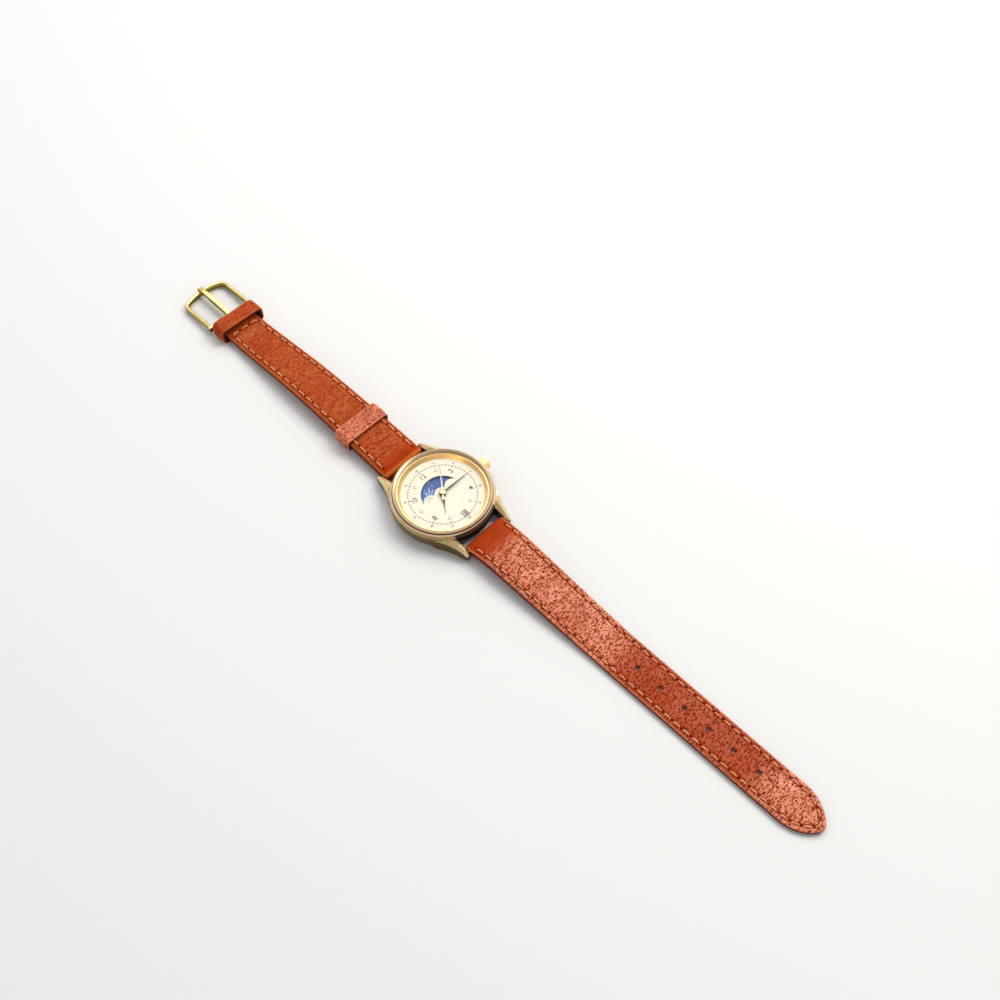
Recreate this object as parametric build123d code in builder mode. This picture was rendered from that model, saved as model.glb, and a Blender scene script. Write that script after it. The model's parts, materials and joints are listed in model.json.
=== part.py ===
"""Ladies' moon phase wristwatch, lying open with the dial up.

Millimetres. The origin is the middle of the case back's resting face, +Z runs up
through the dial, +Y points to 12 o'clock and the buckle, +X to 3 o'clock and the crown.
The hands stand at about a quarter past seven.
"""
from build123d import *
import os
from math import acos, atan2, cos, degrees, hypot, radians, sin, sqrt

os.makedirs("parts", exist_ok=True)

# Case
case_radius = 14.9
case_foot_inset = 0.7
case_lift = 0.45
case_top = 5.2
case_wall = 2.0
case_shoulder = 0.45
case_corner = 0.35
bar_stand_off = 2.0
lug_overhang = 1.2
lug_root_share = 0.819

# Case back and its gasket
back_inset = 1.2
back_chamfer = 0.2
back_rim_wall = 0.45
back_rim_height = 1.05
gasket_wall = 0.15
gasket_height = 0.4

# Bezel, crystal and the ring below it
bezel_inset = 0.56
bezel_height = 1.75
bezel_groove_inset = 0.49
bezel_groove_drop = 0.62
bezel_rim_width = 1.24
bezel_ledge_height = 0.85
bezel_skirt = 0.3
bezel_skirt_wall = 0.4
crystal_edge = 0.65
crystal_dome = 0.65
crystal_bevel = 0.25
dial_ring_top_wall = 0.4
dial_ring_low_wall = 1.15

# Dial, its windows and the moon disc
dial_edge_gap = 0.3
dial_low = 4.3
dial_thickness = 0.4
dial_hole = 0.85
dial_foot_radius = 0.3
dial_foot_length = 0.9
dial_foot_inset = 1.55
dial_foot_headings = (30.0, 210.0)
moon_window_radius = 6.1
moon_window_hub = 2.35
moon_window_base = 1.2
moon_lobe_radius = 2.2
moon_lobe_side = 3.95
moon_lobe_height = 0.2
date_window_place = 8.83
date_window_width = 1.7
date_window_length = 2.1
moon_disc_radius = 6.7
moon_disc_gap = 0.22
moon_disc_thickness = 0.12
moon_hub_wall = 0.35

# Strap, both pieces
bar_height = 2.2
bar_radius = 0.75
bar_tip_radius = 0.38
bar_tip_length = 0.8
strap_width = 14.0
strap_loop_radius = 1.6
strap_padded = 2.9
lining_thickness = 0.5
lining_start = 3.0
segment_gap = 0.08

# Long piece with the holes
long_reach = 112.0
long_rise = 2.1
long_thin = 1.6
long_waist_width = 12.2
long_waist_share = 0.403
long_shoulder_width = 11.7
long_tip_length = 9.9
long_tip_rounding = 2.6
hole_diameter = 1.5
hole_margin = 19.75
hole_pitch = 7.63
hole_count = 6
long_joint_share = 0.2866

# Short piece with the buckle
short_reach = 78.5
short_rise = 2.8
short_thin = 2.0
short_waist_width = 12.1
short_waist_back = 8.4
short_joint_share = 0.4854
pin_height = 1.85
pin_radius = 0.6
pin_loop_radius = 1.2
tongue_slot_width = 2.3
tongue_slot_length = 3.6

# Keepers
sliding_keeper_out = 16.9
sliding_keeper_length = 6.0
sliding_keeper_wall = 0.6
sliding_keeper_gap = 0.3
sliding_keeper_travel = 10.0
fixed_keeper_back = 4.2
fixed_keeper_length = 5.2
fixed_keeper_bore_width = 14.0
fixed_keeper_wall = 0.7
fixed_keeper_band = 0.4
fixed_keeper_room = 1.6
keeper_rounding = 0.5

# Buckle
buckle_width = 16.3
buckle_reach = 15.7
buckle_rail = 1.5
buckle_rail_height = 1.9
buckle_corner = 2.6
buckle_arch = 1.75
buckle_bar_low = 0.05
buckle_eye_radius = 0.95
tongue_width = 1.7
tongue_tip_width = 1.3
tongue_thickness = 0.85
tongue_rise = 0.55
tongue_rounding = 0.35
tongue_overhang = 0.5
tongue_droop = 0.75

# Crown, stem and their tube
crown_axis = 2.55
crown_radius = 1.9
crown_length = 2.1
crown_gap = 0.25
crown_ridges = 24
crown_ridge_depth = 0.14
crown_face_bulge = 0.3
crown_bore_depth = 1.3
crown_travel = 1.4
tube_wall = 0.27
tube_stand_out = 1.2
crown_gasket_wall = 0.25
crown_gasket_length = 0.5
stem_radius = 0.4
stem_inner_end = 4.55
stem_groove_radius = 0.25
stem_groove_length = 0.6
stem_groove_place = 9.3
stem_screw_length = 0.9

# Main plate and what it carries
plate_radius = 11.5
plate_low = 2.1
plate_top = 3.0
plate_step_radius = 7.6
date_seat = 3.64
plate_lip_radius = 10.35
plate_lip_top = 3.82
plate_slot_width = 1.0
clutch_slot_start = 5.6
clutch_slot_end = 8.1
clutch_slot_width = 1.7
clutch_slot_top = 3.35
stud_radius = 0.2
stud_shoulder_radius = 0.4
guard_post_place = 6.3
guard_post_radius = 0.4
guard_post_headings = (80.0, -40.0, -95.0, 160.0)
holder_wall_gap = 0.06
holder_shelf = 0.4
holder_shelf_thickness = 0.3
holder_low = 1.55

# Clearances
running_gap = 0.04
wheel_gap = 0.06
side_gap = 0.15
seat_gap = 0.02
cut_overrun = 1.0

# Going train, behind the main plate
train_module = 0.08
wheel_thickness = 0.15
arbor_radius = 0.10
bridge_low = 0.72
bridge_thickness = 0.3
bridge_arm_width = 1.5
bridge_post_radius = 0.6
bridge_post_place = 5.3
bridge_post_headings = (-24.0, 85.0, -150.0)
seconds_level = 1.15
third_level = 1.42
centre_level = 1.70
pinion_teeth = 8
seconds_teeth = 60
fifth_teeth = 32
third_teeth = 60
centre_teeth = 64
third_heading = 52.0
fifth_heading = -104.0
pivot_depth = 0.25

# Motor, battery and electronics
rotor_radius = 0.55
rotor_gap = 0.25
stator_thickness = 0.28
stator_ring_radius = 1.6
stator_arm_width = 1.4
coil_place = 8.6
coil_left = 5.0
coil_right = 3.0
coil_radius = 0.6
coil_axis = 1.16
coil_core_width = 0.8
coil_core_height = 0.3
coil_tab = 0.8
battery_radius = 3.4
battery_height = 1.65
battery_low = 0.8
battery_place = 7.6
battery_heading = 133.0
battery_can_step = 0.35
battery_cap_height = 0.35
clamp_thickness = 0.12
clamp_width = 1.4
clamp_post_place = 9.6
clamp_post_heading = 98.0
board_thickness = 0.2
board_inner = 6.2
board_outer = 11.0
board_from = -58.0
board_to = -14.0
chip_size = 1.7
chip_thickness = 0.5
quartz_radius = 0.6
quartz_length = 4.4
quartz_place = 9.4
quartz_heading = -36.0
chip_place = 7.0
chip_heading = -36.0
screw_head_radius = 0.55
screw_head_height = 0.18
screw_radius = 0.26
screw_bite = 0.5

# Motion works and calendar, in front of the main plate
motion_module = 0.10
hour_module = 0.096
calendar_module = 0.12
cannon_teeth = 12
minute_wheel_teeth = 36
minute_pinion_teeth = 10
hour_wheel_teeth = 40
hour_pinion_teeth = 16
day_wheel_teeth = 32
setting_teeth = 16
setting_place_x = 4.85
setting_place_y = 0.95
minute_level = 3.06
minute_thickness = 0.16
hour_level = 3.28
hour_thickness = 0.14
day_level = 3.48
day_thickness = 0.12
finger_level = 3.66
finger_thickness = 0.12
day_wheel_heading = 180.0
day_finger_reach = 1.03
date_drive_place = 5.2
date_finger_reach = 2.1
finger_width = 0.35
finger_rest_heading = 90.0
date_finger_rest_heading = 20.0
moon_star_teeth = 59
moon_star_radius = 2.0
moon_star_root = 1.8
date_ring_radius = 10.25
date_ring_inner = 7.4
date_ring_tooth_tip = 7.0
date_ring_thickness = 0.14
date_ring_teeth = 31
guard_level = 3.84
guard_thickness = 0.08
guard_inner = 1.3
guard_outer = 7.6
jumper_width = 0.25
date_jumper_foot = 5.6
date_jumper_heading = -14.0
date_jumper_rest = 4.5
moon_jumper_foot = 4.9
moon_jumper_heading = 112.0
moon_jumper_beak_heading = 61.0

# Pipes about the dial's centre, from the inside out
centre_pipe_wall = 0.12
cannon_pipe_wall = 0.14
hour_pipe_wall = 0.20

# Hands
hour_hand_level = 4.98
minute_hand_level = 5.30
seconds_hand_level = 5.62
hand_thickness = 0.10
hour_hand_length = 6.64
minute_hand_length = 9.36
seconds_hand_length = 9.19
seconds_tail = 2.3
hour_hub_radius = 1.0
minute_hub_radius = 0.85
seconds_hub_radius = 0.5
hour_hand_width = 0.95
minute_hand_width = 0.6
seconds_hand_width = 0.16
hours_shown = 7.25
minutes_shown = 15.1
seconds_shown = 6.3

# Setting parts
clutch_radius = 0.72
clutch_start = 6.5
clutch_length = 1.4
clutch_groove_radius = 0.55
clutch_groove_length = 0.35
clutch_teeth = 12
clutch_tooth_depth = 0.15
lever_low = 1.74
lever_thickness = 0.28
lever_arm = 4.0
lever_pin_radius = 0.2
lever_pin_top = 2.27
lever_width = 0.9
lever_stud_radius = 0.3

# Strap: at each share of the reach, the shares of the underside's rise and of the padding
long_shares = (
    (0.045, 1.00, 0.95),
    (0.12, 0.93, 0.72),
    (0.20, 0.68, 0.50),
    (0.29, 0.36, 0.26),
    (0.38, 0.10, 0.08),
    (0.46, 0.00, 0.00),
)
short_shares = (
    (0.09, 0.50, 0.90),
    (0.25, 0.80, 0.65),
    (0.42, 1.00, 0.45),
    (0.56, 0.93, 0.30),
    (0.72, 0.60, 0.12),
    (0.87, 0.30, 0.00),
)

# Sizes that follow from those above
ON_BASE = (Align.CENTER, Align.CENTER, Align.MIN)
case_foot_radius = case_radius - case_foot_inset
case_bore = case_radius - case_wall
back_radius = case_radius - back_inset
bezel_radius = case_radius - bezel_inset
bezel_groove_radius = bezel_radius - bezel_groove_inset
bezel_lip_radius = bezel_radius - bezel_rim_width
dial_ring_top_bore = case_bore - dial_ring_top_wall
dial_ring_low_bore = case_bore - dial_ring_low_wall
dial_radius = case_bore - dial_edge_gap
dial_foot_place = dial_radius - dial_foot_inset
bar_place = case_radius + bar_stand_off
lug_reach = bar_place + lug_overhang
lug_inner = strap_width / 2 + side_gap
lug_spread = lug_root_share * case_radius - lug_inner
bezel_seat = case_top + bezel_ledge_height
crystal_radius = bezel_lip_radius - gasket_wall
dial_top = dial_low + dial_thickness
dial_ring_radius = case_bore - holder_wall_gap
seconds_pipe_bore = arbor_radius + running_gap
centre_pipe_radius = seconds_pipe_bore + centre_pipe_wall
cannon_bore = centre_pipe_radius + running_gap
cannon_radius = cannon_bore + cannon_pipe_wall
hour_bore = cannon_radius + running_gap
hour_pipe_radius = hour_bore + hour_pipe_wall
moon_bore = hour_pipe_radius + running_gap
moon_disc_low = dial_low - moon_disc_gap - moon_disc_thickness
bridge_top = bridge_low + bridge_thickness
tube_bore = stem_radius + running_gap
tube_radius = tube_bore + tube_wall
crown_start = case_radius + crown_gap
tip_place = bar_place + long_reach
long_waist_place = bar_place + long_waist_share * long_reach
long_shoulder_place = tip_place - long_tip_length
hole_last = tip_place - hole_margin
hole_first = hole_last - (hole_count - 1) * hole_pitch
long_joints = (bar_place + long_joint_share * long_reach, (hole_first + hole_last) / 2)
pin_place = bar_place + short_reach
short_waist_place = pin_place - short_waist_back
short_joint = bar_place + short_joint_share * short_reach
sliding_keeper_place = bar_place + sliding_keeper_out
fixed_keeper_place = pin_place - fixed_keeper_back
train_distance = train_module * (seconds_teeth + pinion_teeth) / 2
centre_module = 2 * train_distance / (centre_teeth + pinion_teeth)
rotor_distance = train_module * (fifth_teeth + pinion_teeth) / 2
minute_distance = motion_module * (cannon_teeth + minute_wheel_teeth) / 2
setting_distance = motion_module * (setting_teeth + minute_wheel_teeth) / 2
day_distance = calendar_module * (hour_pinion_teeth + day_wheel_teeth) / 2
drive_distance = calendar_module * day_wheel_teeth
hour_heading = 90.0 - 30.0 * hours_shown
minute_heading = 90.0 - 6.0 * minutes_shown
seconds_heading = 90.0 - 6.0 * seconds_shown


def write(name, piece):
    """Label one finished piece and write it to its own file."""
    piece.part.label = name
    export_step(piece.part, f"parts/{name}.step")


def polar(distance, heading):
    """A place in plan at a distance and a heading from the dial's centre."""
    return (distance * cos(radians(heading)), distance * sin(radians(heading)))


def meeting(place, reach, other, other_reach, side):
    """The place that lies one reach from a first place and another from a second."""
    run = hypot(other[0] - place[0], other[1] - place[1])
    along = degrees(atan2(other[1] - place[1], other[0] - place[0]))
    opening = degrees(acos((reach**2 + run**2 - other_reach**2) / (2 * reach * run)))
    step = polar(reach, along + side * opening)
    return (place[0] + step[0], place[1] + step[1])


def drum(radius, low, high, at=(0, 0), mode=Mode.ADD):
    """A round plug, or a round hole, about an upright axis."""
    with Locations((at[0], at[1], low)):
        Cylinder(radius, high - low, align=ON_BASE, mode=mode)


def ring(outer, inner, low, high, at=(0, 0)):
    """An upright tube or a flat ring."""
    with BuildSketch(Plane((at[0], at[1], low))) as outline:
        Circle(outer)
        Circle(inner, mode=Mode.SUBTRACT)
    extrude(outline.sketch, amount=high - low)


def strut(start, end, width, low, high, mode=Mode.ADD):
    """A flat bar with round ends between two places in plan."""
    run = hypot(end[0] - start[0], end[1] - start[1])
    heading = degrees(atan2(end[1] - start[1], end[0] - start[0]))
    middle = ((start[0] + end[0]) / 2, (start[1] + end[1]) / 2)
    with BuildSketch(Plane((middle[0], middle[1], low))) as outline:
        SlotCenterToCenter(run, width, rotation=heading)
    extrude(outline.sketch, amount=high - low, mode=mode)


tooth_half_shares = (0.70, 0.24, 0.11)
tooth_height_shares = (-1.15, 0.0, 0.8)


def toothed(teeth, module, low, high, at=(0, 0), turn=0.0, bore=0.0):
    """A spur wheel or pinion; its first tooth points along the turn."""
    pitch = 360.0 / teeth
    points = []
    for tooth in range(teeth):
        middle = turn + tooth * pitch
        root, waist, tip = (module * (teeth / 2 + share) for share in tooth_height_shares)
        foot, shoulder, crest = (pitch * share / 2 for share in tooth_half_shares)
        points.append(polar(root, middle - foot))
        points.append(polar(waist, middle - pitch * tooth_half_shares[1]))
        points.append(polar(tip, middle - crest))
        points.append(polar(tip, middle + crest))
        points.append(polar(waist, middle + pitch * tooth_half_shares[1]))
        points.append(polar(root, middle + foot))
    with BuildSketch(Plane((at[0], at[1], low))) as outline:
        with BuildLine():
            Polyline(*points, close=True)
        make_face()
        if bore:
            Circle(bore, mode=Mode.SUBTRACT)
    extrude(outline.sketch, amount=high - low)


# Case middle with its four lugs: from root to tip, the share of the reach, the shares of
# the spread at the ridge and outside, then the shares of the height at the inner edge,
# the ridge, the outer edge and the underside
lug_shares = (
    (0.40, 0.485, 1.00, 0.885, 0.933, 0.885, 0.09),
    (0.525, 0.436, 0.89, 0.865, 0.952, 0.855, 0.09),
    (0.66, 0.356, 0.635, 0.81, 0.933, 0.81, 0.10),
    (0.80, 0.25, 0.435, 0.72, 0.845, 0.73, 0.09),
    (0.915, 0.17, 0.327, 0.605, 0.72, 0.625, 0.07),
    (1.00, 0.13, 0.25, 0.42, 0.52, 0.44, 0.10),
)

with BuildPart() as lug:
    for reach, ridge, outside, inner_top, ridge_top, outer_top, under in lug_shares:
        with BuildSketch(Plane.XZ.offset(-reach * lug_reach)):
            with BuildLine():
                Polyline(
                    (lug_inner, under * case_top),
                    (lug_inner, inner_top * case_top),
                    (lug_inner + ridge * lug_spread, ridge_top * case_top),
                    (lug_inner + outside * lug_spread, outer_top * case_top),
                    (lug_inner + outside * lug_spread, under * case_top),
                    close=True,
                )
            make_face()
    loft(ruled=True)

with BuildPart() as case_middle:
    with BuildSketch(Plane.XZ):
        with BuildLine():
            Line((0, case_lift), (case_foot_radius, case_lift))
            ThreePointArc(
                (case_foot_radius, case_lift),
                (case_radius, (case_lift + case_top) / 2),
                (case_radius - case_corner / 2, case_top - case_shoulder),
            )
            Line(
                (case_radius - case_corner / 2, case_top - case_shoulder),
                (bezel_radius - case_corner, case_top),
            )
            Line((bezel_radius - case_corner, case_top), (0, case_top))
            Line((0, case_top), (0, case_lift))
        make_face()
    revolve(axis=Axis.Z)
    add(lug.part)
    add(lug.part.mirror(Plane.YZ))
    add(lug.part.mirror(Plane.XZ))
    add(lug.part.mirror(Plane.YZ).mirror(Plane.XZ))
    drum(case_bore, 0, case_top + cut_overrun, mode=Mode.SUBTRACT)
    drum(case_bore + bezel_skirt_wall, case_top - bezel_skirt, case_top + cut_overrun, mode=Mode.SUBTRACT)
    for side in (1, -1):
        with Locations(Location((0, side * bar_place, bar_height), (0, 90, 0))):
            Cylinder(bar_tip_radius + running_gap, 2 * (lug_inner + bar_tip_length), mode=Mode.SUBTRACT)
    with Locations(Location((case_radius, 0, crown_axis), (0, 90, 0))):
        Cylinder(tube_radius, 2 * (case_radius - case_bore + cut_overrun), mode=Mode.SUBTRACT)
write("case_middle", case_middle)

# Case back and gasket
back_rim_radius = case_bore - gasket_wall
with BuildPart() as case_back:
    drum(back_radius, 0, case_lift)
    chamfer(case_back.edges().group_by(Axis.Z)[0], back_chamfer)
    ring(back_rim_radius, back_rim_radius - back_rim_wall, case_lift, case_lift + back_rim_height)
write("case_back", case_back)

with BuildPart() as back_gasket:
    ring(case_bore, back_rim_radius, case_lift, case_lift + gasket_height)
write("back_gasket", back_gasket)

# Bezel, with two rounded steps and a groove between them
with BuildPart() as bezel:
    skirt_radius = case_bore + bezel_skirt_wall - seat_gap
    step_top = case_top + bezel_height - bezel_groove_drop
    with BuildSketch(Plane.XZ):
        with BuildLine():
            inside = Polyline(
                (case_bore, bezel_seat),
                (case_bore, case_top - bezel_skirt + seat_gap),
                (skirt_radius, case_top - bezel_skirt + seat_gap),
                (skirt_radius, case_top),
                (bezel_radius - case_corner, case_top),
            )
            outer_step = ThreePointArc(
                inside @ 1,
                (bezel_radius, (case_top + step_top) / 2),
                ((bezel_radius + bezel_groove_radius) / 2, step_top),
            )
            Line(outer_step @ 1, (bezel_groove_radius, step_top - back_chamfer))
            inner_step = ThreePointArc(
                (bezel_groove_radius, step_top - back_chamfer),
                (bezel_groove_radius - back_chamfer, case_top + bezel_height - back_chamfer),
                ((bezel_groove_radius + bezel_lip_radius) / 2, case_top + bezel_height),
            )
            Polyline(
                inner_step @ 1,
                (bezel_lip_radius, case_top + bezel_height - back_chamfer),
                (bezel_lip_radius, bezel_seat),
                (case_bore, bezel_seat),
            )
        make_face()
    revolve(axis=Axis.Z)
write("bezel", bezel)

with BuildPart() as crystal:
    crystal_top = bezel_seat + crystal_edge + crystal_dome
    dome_radius = (crystal_radius**2 + crystal_dome**2) / (2 * crystal_dome)
    drum(crystal_radius, bezel_seat, crystal_top + cut_overrun)
    with Locations((0, 0, crystal_top - dome_radius)):
        Sphere(dome_radius, mode=Mode.INTERSECT)
    chamfer(crystal.faces().sort_by(Axis.Z)[-1].edges(), crystal_bevel)
write("crystal", crystal)

with BuildPart() as crystal_gasket:
    ring(bezel_lip_radius, crystal_radius, bezel_seat, bezel_seat + gasket_height)
write("crystal_gasket", crystal_gasket)

with BuildPart() as dial_ring:
    with BuildSketch(Plane.XZ):
        with BuildLine():
            Polyline(
                (dial_ring_low_bore, dial_top),
                (dial_ring_radius, dial_top),
                (dial_ring_radius, bezel_seat - seat_gap),
                (dial_ring_top_bore, bezel_seat - seat_gap),
                close=True,
            )
        make_face()
    revolve(axis=Axis.Z)
write("dial_ring", dial_ring)

# Dial with its centre hole, moon window and date window
with BuildPart() as dial:
    drum(dial_radius, dial_low, dial_top)
    for heading in dial_foot_headings:
        drum(dial_foot_radius, dial_low - dial_foot_length, dial_low, polar(dial_foot_place, heading))
    drum(dial_hole, 0, dial_top + cut_overrun, mode=Mode.SUBTRACT)
    with BuildSketch(Plane.XY.offset(dial_low)):
        Circle(moon_window_radius)
        Circle(moon_window_hub, mode=Mode.SUBTRACT)
        with Locations((0, moon_window_base)):
            Rectangle(
                2 * dial_radius, 2 * dial_radius, align=(Align.CENTER, Align.MAX), mode=Mode.SUBTRACT
            )
        with Locations((moon_lobe_side, moon_lobe_height), (-moon_lobe_side, moon_lobe_height)):
            Circle(moon_lobe_radius, mode=Mode.SUBTRACT)
        with Locations((0, -date_window_place)):
            Rectangle(date_window_width, date_window_length)
    extrude(amount=dial_thickness, mode=Mode.SUBTRACT)
write("dial", dial)

# Hands, each made pointing along X and then turned to the time
with BuildPart() as hour_hand:
    with BuildSketch(Plane.XY.offset(hour_hand_level)):
        with BuildLine():
            Polyline(
                (0, hour_hub_radius / 3),
                (hour_hand_length / 3, hour_hand_width / 2),
                (hour_hand_length, seconds_hand_width / 2),
                (hour_hand_length, -seconds_hand_width / 2),
                (hour_hand_length / 3, -hour_hand_width / 2),
                (0, -hour_hub_radius / 3),
                close=True,
            )
        make_face()
        Circle(hour_hub_radius)
        Circle(hour_pipe_radius, mode=Mode.SUBTRACT)
    extrude(amount=hand_thickness)
hour_hand.part = hour_hand.part.rotate(Axis.Z, hour_heading)
write("hour_hand", hour_hand)

with BuildPart() as minute_hand:
    with BuildSketch(Plane.XY.offset(minute_hand_level)):
        with BuildLine():
            Polyline(
                (-minute_hub_radius, minute_hand_width / 2),
                (minute_hand_length / 3, minute_hand_width / 2),
                (minute_hand_length, seconds_hand_width / 2),
                (minute_hand_length, -seconds_hand_width / 2),
                (minute_hand_length / 3, -minute_hand_width / 2),
                (-minute_hub_radius, -minute_hand_width / 2),
                close=True,
            )
        make_face()
        Circle(minute_hub_radius)
        Circle(cannon_radius, mode=Mode.SUBTRACT)
    extrude(amount=hand_thickness)
minute_hand.part = minute_hand.part.rotate(Axis.Z, minute_heading)
write("minute_hand", minute_hand)

with BuildPart() as seconds_hand:
    with BuildSketch(Plane.XY.offset(seconds_hand_level)):
        with Locations(((seconds_hand_length - seconds_tail) / 2, 0)):
            Rectangle(seconds_hand_length + seconds_tail, seconds_hand_width)
        Circle(seconds_hub_radius)
        Circle(arbor_radius, mode=Mode.SUBTRACT)
    extrude(amount=hand_thickness)
seconds_hand.part = seconds_hand.part.rotate(Axis.Z, seconds_heading)
write("seconds_hand", seconds_hand)

# Places of the wheels in plan
third_place = polar(train_distance, third_heading)
fifth_place = polar(train_distance, fifth_heading)
rotor_place = polar(train_distance + rotor_distance, fifth_heading)
setting_place = (setting_place_x, setting_place_y)
minute_place = meeting((0, 0), minute_distance, setting_place, setting_distance, -1)
day_place = polar(day_distance, day_wheel_heading)
drive_place = meeting((0, 0), date_drive_place, day_place, drive_distance, 1)
battery_centre = polar(battery_place, battery_heading)
clamp_post = polar(clamp_post_place, clamp_post_heading)
lever_place = (stem_groove_place + crown_travel / 2, sqrt(lever_arm**2 - (crown_travel / 2) ** 2))
bridge_posts = tuple(polar(bridge_post_place, heading) for heading in bridge_post_headings)
jumper_feet = (polar(date_jumper_foot, date_jumper_heading), polar(moon_jumper_foot, moon_jumper_heading))
guard_posts = tuple(polar(guard_post_place, heading) for heading in guard_post_headings)

# Main plate, with its studs, posts, bearings and wells
with BuildPart() as main_plate:
    drum(plate_radius, plate_low, plate_top)
    ring(plate_radius, plate_step_radius, plate_top, date_seat)
    ring(plate_radius, plate_lip_radius, date_seat, plate_lip_top)
    for place, shoulder_top, stud_top in (
        (minute_place, minute_level - seat_gap, hour_level + hour_thickness),
        (setting_place, minute_level - seat_gap, minute_level + minute_thickness),
        (day_place, day_level - seat_gap, finger_level + finger_thickness),
        (drive_place, day_level - seat_gap, finger_level + finger_thickness),
    ):
        drum(stud_shoulder_radius, plate_top, shoulder_top, place)
        drum(stud_radius, shoulder_top, stud_top, place)
    for place in guard_posts:
        drum(guard_post_radius, plate_top, guard_level, place)
    for place in jumper_feet:
        drum(guard_post_radius, plate_top, finger_level - seat_gap, place)
    drum(bridge_post_radius, bridge_low, plate_low, clamp_post)
    well_top = battery_low + battery_height + seat_gap
    drum(battery_radius + side_gap, 0, well_top, battery_centre, Mode.SUBTRACT)
    drum(centre_pipe_radius + running_gap, 0, cut_overrun + plate_top, mode=Mode.SUBTRACT)
    for place in (third_place, fifth_place, rotor_place):
        drum(arbor_radius + running_gap, 0, plate_low + 2 * pivot_depth, place, Mode.SUBTRACT)
    drum(lever_stud_radius + running_gap, 0, plate_low + 2 * pivot_depth, lever_place, Mode.SUBTRACT)
    for place in bridge_posts + (clamp_post,):
        drum(screw_radius, 0, plate_low + screw_bite, place, Mode.SUBTRACT)
    for heading in dial_foot_headings:
        drum(
            dial_foot_radius + running_gap,
            dial_low - dial_foot_length - seat_gap,
            plate_lip_top + cut_overrun,
            polar(dial_foot_place, heading),
            Mode.SUBTRACT,
        )
    with BuildSketch(Plane.XY) as stem_slot:
        with Locations((stem_inner_end - running_gap, 0)):
            Rectangle(plate_radius, plate_slot_width, align=(Align.MIN, Align.CENTER))
    extrude(stem_slot.sketch, amount=plate_top, mode=Mode.SUBTRACT)
    with BuildSketch(Plane.XY) as clutch_slot:
        with Locations((clutch_slot_start, 0)):
            Rectangle(
                clutch_slot_end - clutch_slot_start, clutch_slot_width, align=(Align.MIN, Align.CENTER)
            )
    extrude(clutch_slot.sketch, amount=clutch_slot_top, mode=Mode.SUBTRACT)
write("main_plate", main_plate)

with BuildPart() as movement_holder:
    holder_bore = plate_radius + holder_wall_gap
    shelf_low = plate_low - holder_shelf_thickness
    with BuildSketch(Plane.XZ):
        with BuildLine():
            Polyline(
                (case_bore - holder_wall_gap, holder_low),
                (case_bore - holder_wall_gap, dial_low),
                (holder_bore, dial_low),
                (holder_bore, plate_low),
                (holder_bore - holder_shelf, plate_low),
                (holder_bore - holder_shelf, shelf_low),
                (holder_bore, shelf_low),
                (holder_bore, holder_low),
                close=True,
            )
        make_face()
    revolve(axis=Axis.Z)
    with BuildSketch(Plane.YZ) as stem_way:
        with Locations((0, crown_axis)):
            Rectangle(plate_slot_width, plate_slot_width)
    extrude(stem_way.sketch, amount=case_radius, mode=Mode.SUBTRACT)
write("movement_holder", movement_holder)

# Train bridge on three posts
with BuildPart() as train_bridge:
    for place in bridge_posts:
        strut((0, 0), place, bridge_arm_width, bridge_low, bridge_top)
        drum(bridge_post_radius, bridge_top, plate_low, place)
    for place in (third_place, rotor_place):
        strut((0, 0), place, bridge_arm_width, bridge_low, bridge_top)
    for place in ((0, 0), third_place, fifth_place, rotor_place):
        drum(arbor_radius + running_gap, 0, bridge_top + cut_overrun, place, Mode.SUBTRACT)
    for place in bridge_posts:
        drum(screw_radius, 0, plate_low, place, Mode.SUBTRACT)
write("train_bridge", train_bridge)

with BuildPart() as movement_screws:
    for place in bridge_posts:
        drum(screw_head_radius, bridge_low - screw_head_height, bridge_low, place)
        drum(screw_radius, bridge_low, plate_low + screw_bite, place)
    clamp_low = bridge_low - clamp_thickness
    drum(screw_head_radius, clamp_low - screw_head_height / 2, clamp_low, clamp_post)
    drum(screw_radius, clamp_low, plate_low + screw_bite, clamp_post)
write("movement_screws", movement_screws)

# Going train, slowest wheel last
fifth_turn = 180.0 / pinion_teeth
with BuildPart() as seconds_wheel:
    drum(arbor_radius, bridge_low, seconds_hand_level + hand_thickness + seat_gap)
    toothed(seconds_teeth, train_module, seconds_level, seconds_level + wheel_thickness)
    toothed(pinion_teeth, train_module, third_level - wheel_gap, third_level + wheel_thickness + wheel_gap)
write("seconds_wheel", seconds_wheel)

with BuildPart() as fifth_wheel:
    drum(arbor_radius, bridge_low, plate_low + pivot_depth, fifth_place)
    toothed(
        pinion_teeth,
        train_module,
        seconds_level - wheel_gap,
        seconds_level + wheel_thickness + wheel_gap,
        fifth_place,
        turn=fifth_heading + 180.0 + fifth_turn,
    )
    toothed(fifth_teeth, train_module, third_level, third_level + wheel_thickness, fifth_place)
write("fifth_wheel", fifth_wheel)

with BuildPart() as rotor:
    drum(arbor_radius, bridge_low, plate_low + pivot_depth, rotor_place)
    toothed(
        pinion_teeth,
        train_module,
        third_level - wheel_gap,
        third_level + wheel_thickness + wheel_gap,
        rotor_place,
        turn=fifth_heading + 180.0 + fifth_turn,
    )
    drum(rotor_radius, plate_low - stator_thickness, plate_low - seat_gap, rotor_place)
write("rotor", rotor)

with BuildPart() as third_wheel:
    drum(arbor_radius, bridge_low, plate_low + pivot_depth, third_place)
    toothed(
        third_teeth,
        train_module,
        third_level,
        third_level + wheel_thickness,
        third_place,
        turn=third_heading + 180.0 + 180.0 / third_teeth,
    )
    toothed(
        pinion_teeth,
        centre_module,
        centre_level - wheel_gap / 2,
        centre_level + wheel_thickness + wheel_gap,
        third_place,
        turn=third_heading + 180.0 + fifth_turn,
    )
write("third_wheel", third_wheel)

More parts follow.
